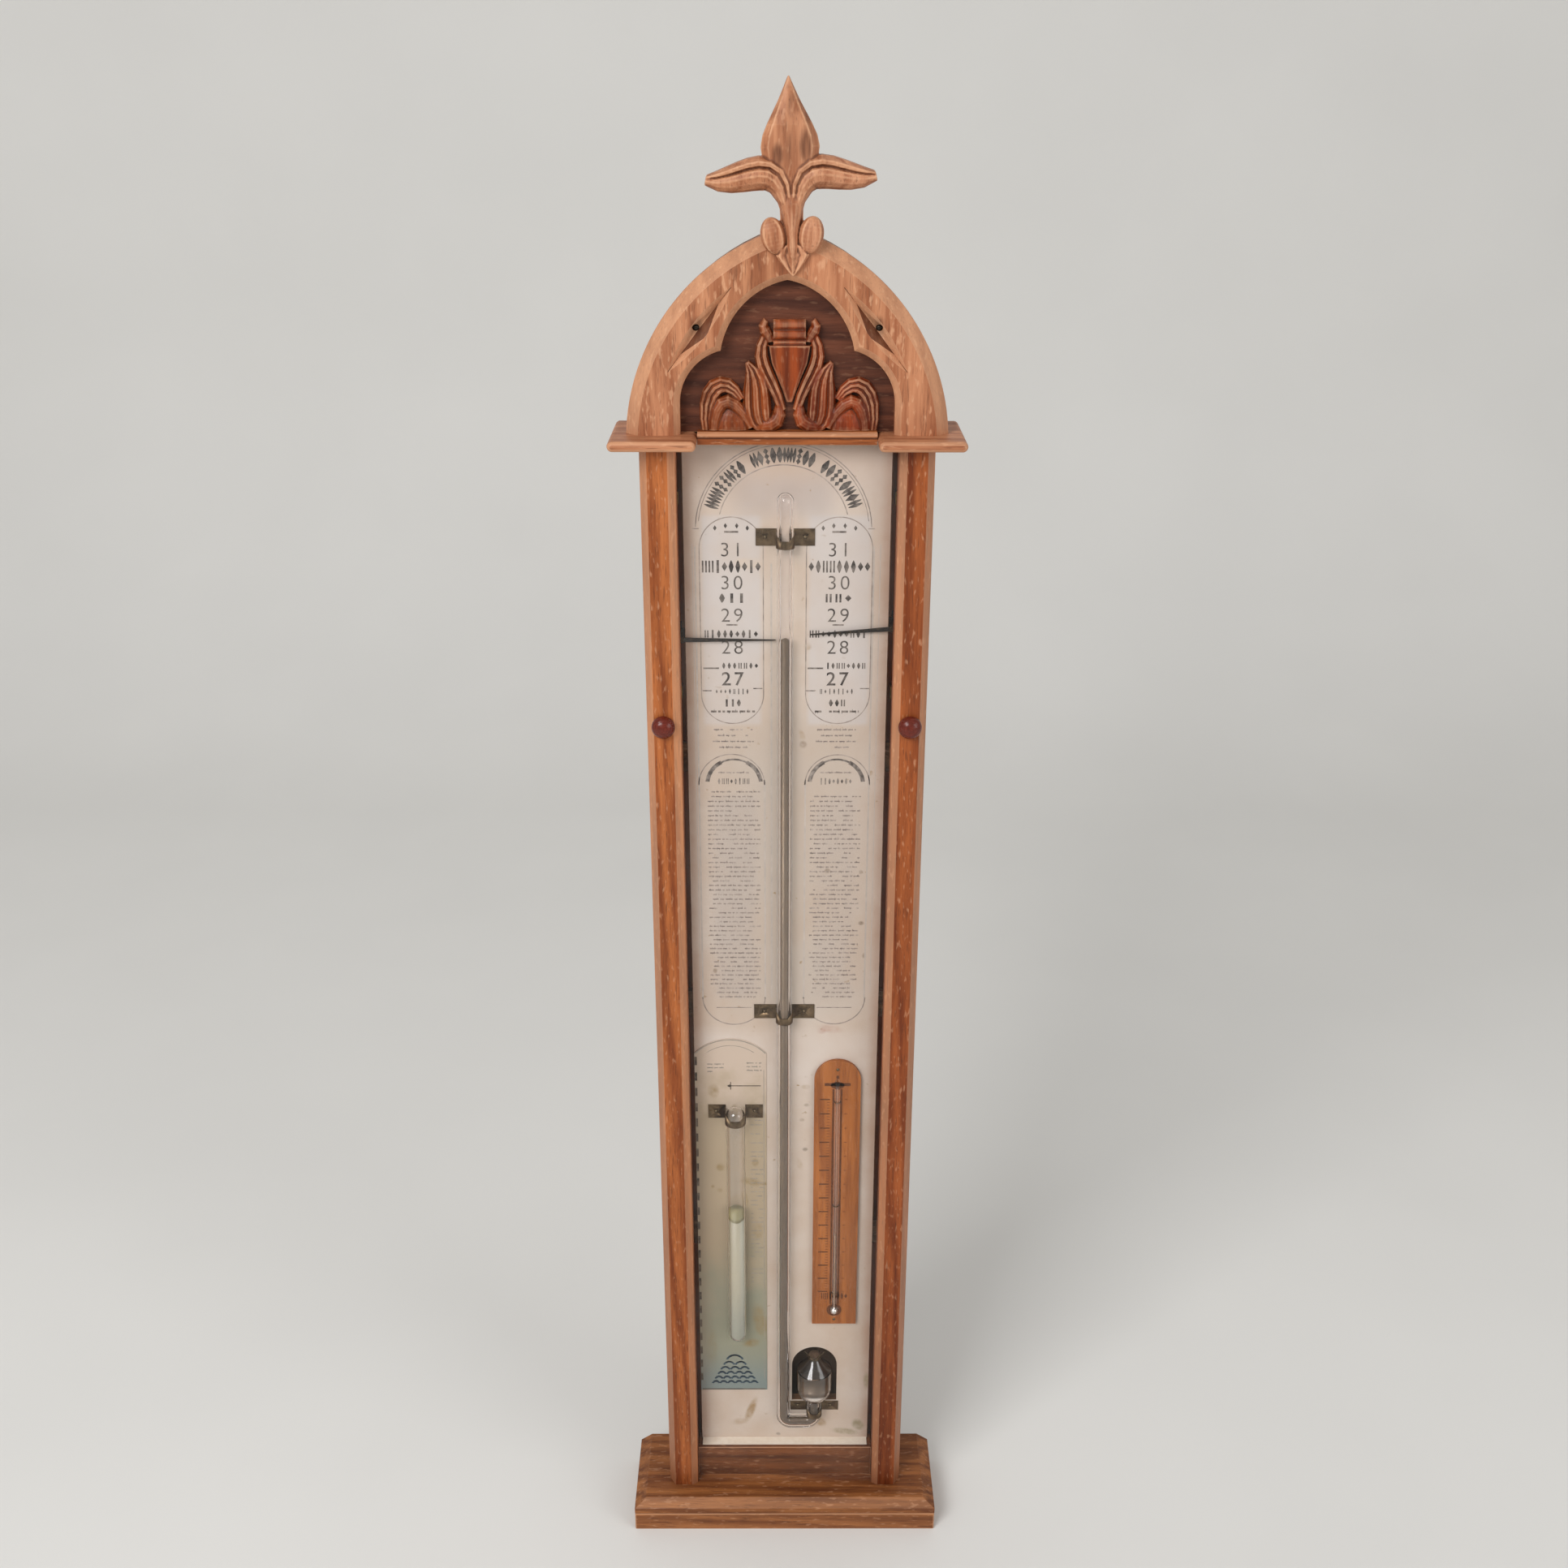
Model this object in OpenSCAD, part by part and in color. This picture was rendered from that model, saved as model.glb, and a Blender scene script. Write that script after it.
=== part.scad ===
// A tall glazed wall barometer in a gothic oak case.
// Sizes are in millimetres. X runs across the front, Z runs up, and the front faces -Y.
// Depths are measured forward from the back face, which hangs against the wall.

/* [Case] */
// Width of the case over its two front posts
case_w = 213; // [195:1:235]
// Height of the case from the plinth to the underside of the imposts
case_h = 965; // [940:1:990]
// Depth of the case sides, from the back face to the back of the posts
case_d = 45; // [43:0.5:50]
// Thickness of the case sides
side_t = 6; // [5:0.5:6.5]
// Thickness of the back board
back_t = 6; // [4:0.5:8]
// Radius of the hanging hole in the back board
hang_r = 5; // [3:0.5:6]
// Height of the hanging hole above the imposts
hang_rise = 108; // [90:1:115]

/* [Posts] */
// Width of a front post
post_w = 26.3; // [24:0.1:28]
// Thickness of a front post
post_t = 20; // [18:0.5:24]
// Width of the flat on the front of a post
post_flat_w = 14.8; // [10:0.1:18]
// Depth of the chamfer on the outer edge of a post
post_chamfer_d = 10; // [6:0.5:13]

/* [Plinth] */
// Width of the plinth
plinth_w = 275; // [250:1:300]
// Depth of the plinth
plinth_d = 86.5; // [85:0.5:100]
// Height of the lower plinth board
plinth_base_h = 18.5; // [14:0.5:24]
// Height of the upper plinth board
plinth_top_h = 13.5; // [11:0.5:18]
// Height of the chamfer round the upper plinth board
plinth_chamfer_h = 7; // [4:0.5:9]
// How far the chamfer runs in at the two ends
plinth_chamfer_w = 10.5; // [5:0.5:12]

/* [Head] */
// Thickness of an impost
impost_t = 7.5; // [6:0.5:10]
// How far an impost stands out past the side of the case
impost_out = 20.5; // [14:0.5:26]
// Distance from the centre line to the inner end of an impost
impost_in = 64.5; // [58:0.5:70]
// Depth of an impost from the back face
impost_d = 83.8; // [78:0.1:86]
// Radius of the two arcs of the arch
arch_r = 155.4; // [150:0.1:165]
// How far past the centre line the arcs of the arch are centred
arch_cx = 39.8; // [35:0.1:45]
// How far under the imposts the arcs of the arch are centred
arch_drop = 8.7; // [0:0.1:12]
// Thickness of the arch
arch_t = 14; // [10:0.5:16]
// Width of the chamfer on the outer edge of the arch
arch_chamfer = 9; // [4:0.5:11]
// Depth of the recess behind the arch, down to the dark panel
panel_back_d = 41; // [38:0.5:44]
// Radius of the upper foil of the arch opening
foil_r = 58.8; // [54:0.1:62]
// How far past the centre line the upper foil is centred
foil_cx = 11.1; // [9:0.1:14]
// Height of the centre of the upper foil above the imposts
foil_cz = 49.1; // [45:0.1:53]
// Radius of the lower foils of the arch opening
lobe_r = 38.6; // [35:0.1:40]
// Distance from the centre line to the centre of a lower foil
lobe_cx = 37.7; // [34:0.1:39]
// Height of the centre of a lower foil above the imposts
lobe_cz = 21.3; // [17:0.1:25]
// Width of the chamfer round the arch opening
foil_chamfer = 4.5; // [2:0.5:6]

/* [Finial] */
// Height of the finial above the crown of the arch
finial_h = 96; // [85:0.5:105]
// Reach of a finial leaf from its centre line
leaf_reach = 60; // [50:0.5:64]
// How far the finial stands proud of the arch
finial_proud = 8; // [5:0.5:10]
// Lean of the finial from upright, in degrees
finial_lean = 1.6; // [0:0.1:3]

/* [Register plate] */
// Depth of the printed plate's face from the back face
plate_d = 39.6; // [38:0.1:41]
// Width of the register board
board_w = 154; // [150:0.5:156]
// Thickness of the register board
board_t = 7.6; // [5:0.1:9]
// Thickness of the paper on the register board
paper_t = 0.4; // [0.2:0.1:0.6]
// Height of the bottom rail
rail_h = 32.5; // [26:0.5:36]
// Depth of the bottom rail's face from the back face
rail_front_d = 52; // [49:0.5:54]
// Thickness of the front glass
glass_t = 2; // [1.6:0.1:2.4]
// Depth of the front glass's back face from the back face of the case
glass_d = 58.2; // [58:0.1:59]

/* [Barometer tube] */
// Outer radius of the barometer tube
tube_r = 6.3; // [5.5:0.1:6.5]
// Bore radius of the barometer tube
tube_bore_r = 3.4; // [2:0.1:4]
// Distance of the tube from the centre line
tube_x = -1.2; // [-4:0.1:2]
// Distance of the tube's closed top below the imposts
tube_top_drop = 37; // [22:1:57]
// Height of the lowest point of the tube's bend
tube_bottom_z = 84.5; // [78:0.5:90]
// Radius of the tube's bends
bend_r = 7.5; // [7:0.1:9]
// Outer radius of the bottle cistern
bulb_r = 16; // [14:0.1:16.4]
// Distance of the bottle cistern from the centre line
bulb_x = 27; // [25:0.1:29]
// Height of the bottom of the bottle cistern
bulb_z = 110.5; // [109.5:0.5:114]
// Length of the straight part of the bottle cistern
bulb_len = 20; // [14:0.5:24]
// Wall of the glass tubes
glass_wall = 1.2; // [0.8:0.1:1.6]
// Distance of the mercury column's top below the imposts
mercury_drop = 149.3; // [82:0.1:197]
// Height of the mercury in the bottle cistern
cistern_level_z = 131; // [128:0.5:138]

/* [Storm glass] */
// Outer radius of the storm glass
storm_r = 8.2; // [7:0.1:8.3]
// Distance of the storm glass from the centre line
storm_x = -42.5; // [-46:0.5:-40]
// Height of the storm glass's bottom
storm_z = 187; // [170:1:200]
// Length of the storm glass
storm_len = 246; // [230:1:260]
// Width of the card behind the storm glass
card_w = 60.5; // [56:0.5:62]
// Height of the card behind the storm glass
card_h = 373.5; // [350:0.5:380]
// Thickness of the card behind the storm glass
card_t = 0.6; // [0.4:0.1:0.8]

/* [Thermometer] */
// Width of the thermometer plate
thermo_w = 39.4; // [34:0.2:42]
// Height of the thermometer plate
thermo_h = 276; // [250:1:290]
// Thickness of the thermometer plate
thermo_t = 3.2; // [2.4:0.1:4]
// Distance of the thermometer from the centre line
thermo_x = 44; // [42:0.5:46]
// Height of the thermometer plate's bottom
thermo_z = 200; // [190:1:210]
// Outer radius of the thermometer tube
thermo_tube_r = 2.2; // [1.6:0.1:2.6]

/* [Pointers] */
// Distance of the setting knobs below the imposts
knob_drop = 212; // [202:1:227]
// Radius of a setting knob
knob_r = 9; // [8:0.5:11]
// Radius of a knob spindle
spindle_r = 2.5; // [2:0.1:3]
// Radius at which the drive cord runs round its pulleys
pitch_r = 5.5; // [5:0.1:5.6]
// Distance of the idler pulleys below the imposts
idler_drop = 35; // [27:1:42]
// Distance of the left pointer below the imposts
left_pointer_drop = 150.9; // [139:0.1:155]
// Distance of the right pointer below the imposts
right_pointer_drop = 142.2; // [139:0.1:155]
// Droop of the right pointer from root to tip, in degrees
right_droop = 4.2; // [0:0.1:6]

/* [Clips] */
// Height of a tube clip
clip_h = 13; // [10:0.5:15]
// Thickness of the clip strap
strap_t = 0.7; // [0.5:0.1:0.8]

/* [Hidden] */
$fn = 48;
eps = 0.01;
oak = "peru";
dark_oak = "saddlebrown";
old_brass = "darkkhaki";

// The back face is the plane that touches the wall, and depths count forward from it.
back_y = plinth_d / 2;
plinth_h = plinth_base_h + plinth_top_h;
impost_z = plinth_h + case_h;
head_z = impost_z + impost_t;
tube_top_z = impost_z - tube_top_drop;
mercury_z = impost_z - mercury_drop;
knob_z = impost_z - knob_drop;
idler_z = impost_z - idler_drop;
left_pointer_z = impost_z - left_pointer_drop;
right_pointer_z = impost_z - right_pointer_drop;
side_in = case_w / 2 - side_t;
post_in = case_w / 2 - post_w;
post_x = case_w / 2 - post_w / 2;
post_front_d = case_d + post_t;
post_edge_w = (post_w - post_flat_w) / 2;
groove_gap = 0.2;
groove_depth = 3;
inner_lip = 1.2;
inner_chamfer_d = glass_d + glass_t + groove_gap + inner_lip;
arch_back_d = panel_front_d();
arch_front_d = arch_back_d + arch_t;
crown_z = head_z - arch_drop + sqrt(arch_r * arch_r - arch_cx * arch_cx);
board_back_d = plate_d - paper_t - board_t;
board_z = plinth_h + rail_h;
tube_d = plate_d + tube_r + 0.05;
bulb_d = plate_d + 0.8;
storm_d = plate_d + card_t + storm_r + 0.05;
card_x = -board_w / 2 + card_w / 2 + 0.3;
card_z = storm_z - 65;
thermo_tube_d = plate_d + thermo_t + 0.8;
cord_d = 23;
cord_r = 0.6;
pulley_t = 5;
pulley_r = pitch_r + 1;
hub_r = 3.4;
slider_gap = 0.3;
slider_h = 10;
rod_r = 1.5;
rod_x = post_in + 3.8;
rod_d = 14;
run_gap = 0.05;
seat_play = 0.02;
needle_d = plate_d + 2;
needle_t = 1.2;
screw_r = 1.5;
upper_clip_z = tube_top_z - 34.7;
lower_clip_z = 522;
cistern_clip_h = 10;
cistern_clip_z = bulb_z - 2 - cistern_clip_h / 2;
storm_clip_z = storm_z + storm_len - 8.5;
carving_x = 1.5;
sill_top_z = head_z + 2;
function panel_front_d() = panel_back_d + 6;

// Draws a flat outline, X across and Z up, as a slab from depth d forward by t.
module slab(d, t) {
    translate([0, back_y - d, 0]) rotate([90, 0, 0]) linear_extrude(t) children();
}

// A box between two corners given in X, depth and Z.
module block(x0, x1, d0, d1, z0, z1) {
    translate([x0, back_y - d1, z0]) cube([x1 - x0, d1 - d0, z1 - z0]);
}

// A round peg along the depth, from depth d forward by t.
module peg(x, z, d, t, r) {
    translate([x, back_y - d, z]) rotate([90, 0, 0]) cylinder(h = t, r = r);
}

// A tapered peg along the depth, r1 at depth d and r2 at its front.
module taper_peg(x, z, d, t, r1, r2) {
    translate([x, back_y - d, z]) rotate([90, 0, 0]) cylinder(h = t, r1 = r1, r2 = r2);
}

// An upright rod whose axis stands at x and depth d.
module rod(x, d, z0, z1, r) {
    translate([x, back_y - d, z0]) cylinder(h = z1 - z0, r = r);
}

// Keeps a child on the right side, or mirrors it to the left.
module on_side(side) {
    mirror([side < 0 ? 1 : 0, 0, 0]) children();
}

// A solid skinned over a list of rings with the same number of points.
module loft(rings) {
    n = len(rings[0]);
    last = len(rings) - 1;
    points = [for (ring = rings, p = ring) p];
    walls = [for (k = [0:last - 1], i = [0:n - 1], half = [0, 1]) half == 0
        ? [k * n + i, k * n + (i + 1) % n, (k + 1) * n + (i + 1) % n]
        : [k * n + i, (k + 1) * n + (i + 1) % n, (k + 1) * n + i]];
    start = [for (i = [n - 1:-1:0]) i];
    finish = [for (i = [0:n - 1]) last * n + i];
    polyhedron(points = points, faces = concat([start], walls, [finish]));
}

// A point on a cubic curve through four control points.
function curve_point(p, t) = pow(1 - t, 3) * p[0] + 3 * t * pow(1 - t, 2) * p[1]
    + 3 * t * t * (1 - t) * p[2] + t * t * t * p[3];
function curve_way(p, t) = pow(1 - t, 2) * (p[1] - p[0]) + 2 * t * (1 - t) * (p[2] - p[1])
    + t * t * (p[3] - p[2]);

// Cross-sections of carved pieces, as places across the width and shares of the rise.
FOLDED = [[-1, 0], [-0.78, 0.72], [-0.45, 1], [-0.12, 0.62], [0, 0.5], [0.12, 0.62], [0.45, 1],
    [0.78, 0.72], [1, 0]];
ROUNDED = [[-1, 0], [-0.8, 0.6], [-0.4, 0.92], [0, 1], [0.4, 0.92], [0.8, 0.6], [1, 0]];
DROOPED = [[-1, 0], [-0.82, 0.5], [-0.5, 0.86], [-0.1, 1], [0.22, 0.88], [0.38, 0.45], [0.5, 0.92],
    [0.74, 0.98], [1, 0.3]];
BEVELLED = [[-1, 0], [-0.75, 0.85], [-0.25, 1], [0.25, 1], [0.75, 0.85], [1, 0]];
FLUTED = [[-1, 0], [-0.8, 0.75], [-0.55, 0.85], [-0.42, 0.5], [-0.2, 0.95], [0.08, 1], [0.24, 0.6],
    [0.5, 0.95], [0.8, 0.85], [1, 0]];
PAIRED = [[-1, 0], [-0.7, 0.9], [-0.3, 0.95], [-0.06, 0.35], [0.3, 1], [0.72, 0.9], [1, 0]];
RIMMED = [[-1, 0.1], [-0.82, 0.7], [-0.58, 0.6], [-0.42, 0.3], [0, 1], [0.42, 0.3], [0.58, 0.6],
    [0.82, 0.7], [1, 0.1]];

// One cross-section of a carved piece, at c in X and Z, across the way it runs.
// It stands between a back plane at depth base_d - back and a face that rises from edge to crown.
function leaf_ring(c, way, w, base_d, back, edge, crown, form) =
    let (n = [-way[1], way[0]] / norm(way), rim = [for (f = form)
        [c[0] + n[0] * w * f[0], back_y - base_d - edge - (crown - edge) * f[1],
            c[1] + n[1] * w * f[0]]])
    concat([[c[0] - n[0] * w, back_y - base_d + back, c[1] - n[1] * w]], rim,
        [[c[0] + n[0] * w, back_y - base_d + back, c[1] + n[1] * w]]);

// A leaf that follows a curve, with its half width and crown given as lists along it.
module leaf(p, widths, crowns, base_d, back, edge, form) {
    m = len(widths) - 1;
    loft([for (i = [0:m]) leaf_ring(curve_point(p, i / m), curve_way(p, i / m),
        widths[i], base_d, back, edge, crowns[i], form)]);
}

// The pointed outline of the arch, drawn in by inset, standing on the line z = 0.
module arch_outline(inset) {
    r = arch_r - inset;
    intersection() {
        translate([-arch_cx, -arch_drop]) circle(r = r, $fn = 180);
        translate([arch_cx, -arch_drop]) circle(r = r, $fn = 180);
        translate([-r, 0]) square([2 * r, r]);
    }
}

// A disc of the arch with its front rim chamfered, centred past the centre line.
module arch_disc(side) {
    translate([-side * arch_cx, back_y - arch_back_d, head_z - arch_drop]) rotate([90, 0, 0])
        rotate_extrude($fn = 180) polygon([[0, 0], [arch_r, 0], [arch_r, arch_t - arch_chamfer],
            [arch_r - arch_chamfer, arch_t], [0, arch_t]]);
}

// A disc-shaped cutter whose front flares out by the chamfer of the arch opening.
module foil_cutter(x, z, r) {
    straight = arch_t - foil_chamfer;
    translate([x, back_y - arch_back_d + eps, head_z + z]) rotate([90, 0, 0])
        rotate_extrude($fn = 96) polygon([[0, 0], [r, 0], [r, straight],
            [r + foil_chamfer + eps, arch_t + 2 * eps], [0, arch_t + 2 * eps]]);
}

// The straight foot of the arch opening, flared like the foils.
module foot_cutter() {
    w = lobe_cx + lobe_r;
    straight = arch_t - foil_chamfer;
    translate([0, back_y - arch_back_d + eps, head_z - 1]) linear_extrude(lobe_cz + 1)
        polygon([[-w, 0], [w, 0], [w, -straight], [w + foil_chamfer + eps, -arch_t - 2 * eps],
            [-w - foil_chamfer - eps, -arch_t - 2 * eps], [-w, -straight]]);
}

// The trefoil opening: a pointed upper foil over two round lower ones.
module trefoil_cutter() {
    intersection() {
        foil_cutter(-foil_cx, foil_cz, foil_r);
        foil_cutter(foil_cx, foil_cz, foil_r);
    }
    foil_cutter(lobe_cx, lobe_cz, lobe_r);
    foil_cutter(-lobe_cx, lobe_cz, lobe_r);
    foot_cutter();
}

// The leaf-shaped groove that is cut on each haunch of the arch.
haunch_mid = [61.5, 73.5];
haunch_screw = haunch_mid + [2.4, 1.4];
haunch_angle = 52;
haunch_len = 74;
haunch_w = 12;
haunch_d = 5;
module haunch_groove() {
    r = (haunch_len * haunch_len / 4 + haunch_w * haunch_w / 4) / haunch_w;
    spine = haunch_len * 0.3;
    translate([haunch_mid[0], back_y - arch_front_d, head_z + haunch_mid[1]])
        rotate([90, 0, 0]) rotate([0, 0, -haunch_angle]) hull() {
            linear_extrude(eps * 2) intersection() {
                translate([0, r - haunch_w / 2]) circle(r = r, $fn = 150);
                translate([0, haunch_w / 2 - r]) circle(r = r, $fn = 150);
            }
            translate([-spine, -eps, -haunch_d]) cube([2 * spine, 2 * eps, eps]);
        }
}

// Countersunk wood screw with its head flush at depth d, running forward, and its hole.
module back_screw(x, z, play) {
    head_r = 3.2;
    head_t = 1.9;
    len = back_t + 10;
    taper_peg(x, z, play > 0 ? -eps : 0, head_t, head_r + play, screw_r + play);
    peg(x, z, 0, len, screw_r + play);
}
function back_screw_z() = [for (k = [0:4]) plinth_h + 48 + k * (case_h - 85) / 4];

// A strap that lies flat on both sides of a round tube and bridges it.
module clip(x, z, w, h, r, axis_d, face_d) {
    in_r = r + 0.05;
    out_r = in_r + strap_t;
    neck = h * 0.48;
    difference() {
        translate([x, back_y, z - h / 2]) linear_extrude(h) difference() {
            union() {
                translate([0, -axis_d]) circle(r = out_r);
                translate([-out_r, -axis_d]) square([2 * out_r, axis_d - face_d]);
                translate([-w / 2, -face_d - strap_t]) square([w, strap_t]);
            }
            translate([0, -axis_d]) circle(r = in_r);
            translate([-in_r, -axis_d]) square([2 * in_r, axis_d - face_d + eps]);
            translate([-w, -face_d]) square([2 * w, axis_d]);
        }
        slab(face_d + strap_t + eps, 3 * r) polygon([[x - out_r - 2, z + h / 2 + eps],
            [x + out_r + 2, z + h / 2 + eps], [x + r * 0.5, z - h / 2 + neck],
            [x - r * 0.5, z - h / 2 + neck]]);
        clip_pin_holes(x, z, w, r);
    }
}
pin_r = 0.6;
pin_play = 0.05;
function tab_x(w, r) = (w / 2 + r) / 2 + strap_t;
module clip_pin_holes(x, z, w, r) {
    for (side = [-1, 1]) peg(x + side * tab_x(w, r), z, board_back_d + 1, board_t + 5,
        pin_r + pin_play);
}
module clip_pin_pair(x, z, w, r, face_d) {
    start = board_back_d + 2;
    for (side = [-1, 1]) {
        peg(x + side * tab_x(w, r), z, start, face_d + strap_t - start, pin_r);
        translate([x + side * tab_x(w, r), back_y - face_d - strap_t, z]) rotate([90, 0, 0])
            intersection() {
                translate([0, 0, -0.9]) sphere(r = 1.8);
                cylinder(h = 2, r = 2);
            }
    }
}
upper_clip_w = 44;
lower_clip_w = 50;
storm_clip_w = 46.5;
cistern_clip_w = 44.5;
module all_pin_holes() {
    clip_pin_holes(tube_x, upper_clip_z, upper_clip_w, tube_r);
    clip_pin_holes(tube_x, lower_clip_z, lower_clip_w, tube_r);
    clip_pin_holes(storm_x, storm_clip_z, storm_clip_w, storm_r);
    clip_pin_holes(bulb_x, cistern_clip_z, cistern_clip_w, tube_r);
    for (z = thermo_pin_z()) peg(thermo_x, z, board_back_d + 1, board_t + 5,
        pin_r + pin_play);
}
function thermo_pin_z() = [thermo_z + 5, thermo_z + thermo_h - 9];

// The plinth, two boards high.
module plinth_base() {
    color(dark_oak) difference() {
        block(-plinth_w / 2, plinth_w / 2, 0, plinth_d, 0, plinth_base_h);
        plinth_screw_set(0.05);
    }
}

module plinth_top() {
    nose = 0.8;
    flat_z = plinth_h - plinth_chamfer_h;
    half = plinth_w / 2;
    chamfer_d = plinth_chamfer_h;
    color(dark_oak) difference() {
        intersection() {
            slab(0, plinth_d) polygon([[-half + nose, plinth_base_h], [-half, plinth_base_h + nose],
                [-half, flat_z], [-half + plinth_chamfer_w, plinth_h],
                [half - plinth_chamfer_w, plinth_h], [half, flat_z],
                [half, plinth_base_h + nose], [half - nose, plinth_base_h]]);
            translate([-half, 0, 0]) rotate([90, 0, 90]) linear_extrude(plinth_w)
                polygon([[back_y, plinth_base_h], [back_y, plinth_h],
                    [back_y - plinth_d + chamfer_d, plinth_h], [back_y - plinth_d, flat_z],
                    [back_y - plinth_d, plinth_base_h + nose],
                    [back_y - plinth_d + nose, plinth_base_h]]);
        }
        plinth_screw_set(0.05);
    }
}

// Screws that come up through the plinth into the bottom rail.
module plinth_screw_set(play) {
    head_r = 4;
    shank_r = 2;
    head_z0 = 1.5;
    for (x = [-60, 0, 60]) translate([x, back_y - (board_back_d + rail_front_d) / 2, 0]) {
        translate([0, 0, head_z0]) cylinder(h = 2.4, r1 = head_r + play, r2 = shank_r + play);
        translate([0, 0, head_z0]) cylinder(h = plinth_h + 14 - head_z0, r = shank_r + play);
        if (play > 0) translate([0, 0, -eps]) cylinder(h = head_z0 + 2 * eps, r = head_r + play);
    }
}
module plinth_screws() {
    color("dimgray") plinth_screw_set(0);
}

// Back board with its arched top and hanging hole.
hang_z = head_z + hang_rise;
module back_board() {
    edge = 1;
    color(oak) difference() {
        slab(0, back_t) {
            translate([-case_w / 2 + edge, plinth_h]) square([case_w - 2 * edge, case_h + impost_t]);
            translate([0, head_z]) arch_outline(3);
        }
        peg(0, hang_z, -1, back_t + 2, hang_r);
        for (x = [-1, 1], z = back_screw_z()) back_screw(x * (side_in + side_t / 2), z, 0.05);
    }
}
module back_screws() {
    color("dimgray") for (x = [-1, 1], z = back_screw_z()) difference() {
        back_screw(x * (side_in + side_t / 2), z, 0);
        block(x * (side_in + side_t / 2) - 4, x * (side_in + side_t / 2) + 4, -1, 0.7,
            z - 0.4, z + 0.4);
    }
}

module case_side(side) {
    color(oak) on_side(side) difference() {
        block(side_in, side_in + side_t, back_t, case_d, plinth_h, impost_z);
        for (z = back_screw_z()) back_screw(side_in + side_t / 2, z, 0.05);
    }
}
module left_side() { case_side(-1); }
module right_side() { case_side(1); }

// Front post with its chamfers, the groove for the glass and the bore for the knob spindle.
module front_post(side) {
    out = case_w / 2;
    color(oak) on_side(side) difference() {
        translate([0, back_y, plinth_h]) linear_extrude(case_h) polygon([
            [post_in, -case_d],
            [post_in, -glass_d + groove_gap],
            [post_in + groove_depth, -glass_d + groove_gap],
            [post_in + groove_depth, -glass_d - glass_t - groove_gap],
            [post_in, -glass_d - glass_t - groove_gap],
            [post_in, -inner_chamfer_d],
            [post_in + post_edge_w, -post_front_d],
            [out - post_edge_w, -post_front_d],
            [out, -post_front_d + post_chamfer_d],
            [out, -case_d]]);
        peg(post_x, knob_z, case_d - 1, post_t + 2, spindle_r + run_gap);
        peg(post_x, idler_z, case_d - 1, 7.5, rod_r + seat_play);
    }
}
module left_post() { front_post(-1); }
module right_post() { front_post(1); }

module bottom_rail() {
    gap = 0.2;
    color(dark_oak) difference() {
        block(-post_in + gap, post_in - gap, board_back_d, rail_front_d, plinth_h, board_z);
        plinth_screw_set(0.05);
    }
}

// Pale strip on the ledge under the printed plate.
ledge_t = 0.8;
module ledge_strip() {
    color("linen") block(-board_w / 2 + 1, board_w / 2 - 1, plate_d, rail_front_d - 3.5,
        board_z, board_z + ledge_t);
}

module top_rail() {
    gap = 0.2;
    color(oak) block(-impost_in + gap, impost_in - gap, back_t, arch_back_d, impost_z, head_z);
}

// Impost slab with round edges on its front and two ends.
module impost(side) {
    r = impost_t / 2;
    x0 = impost_in + r;
    x1 = case_w / 2 + impost_out - r;
    front = impost_d - r;
    mid_z = impost_z + r;
    color("burlywood") on_side(side) union() {
        block(x0, x1, back_t, front, impost_z, head_z);
        for (x = [x0, x1]) {
            translate([x, back_y - back_t, mid_z]) rotate([90, 0, 0]) cylinder(h = front - back_t, r = r);
            translate([x, back_y - front, mid_z]) sphere(r = r);
        }
        translate([x0, back_y - front, mid_z]) rotate([0, 90, 0]) cylinder(h = x1 - x0, r = r);
    }
}
module left_impost() { impost(-1); }
module right_impost() { impost(1); }

// Solid head behind the arch. The hanging hole runs a little way into it.
module head_block() {
    color(oak) difference() {
        slab(back_t, panel_back_d - back_t) translate([0, head_z]) arch_outline(3);
        peg(0, hang_z, back_t - 1, 13, hang_r);
        arch_screw_set(0.05);
    }
}

module tympanum_panel() {
    color("sienna") difference() {
        slab(panel_back_d, arch_back_d - panel_back_d) translate([0, head_z]) arch_outline(3);
        arch_screw_set(0.05);
    }
}

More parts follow.
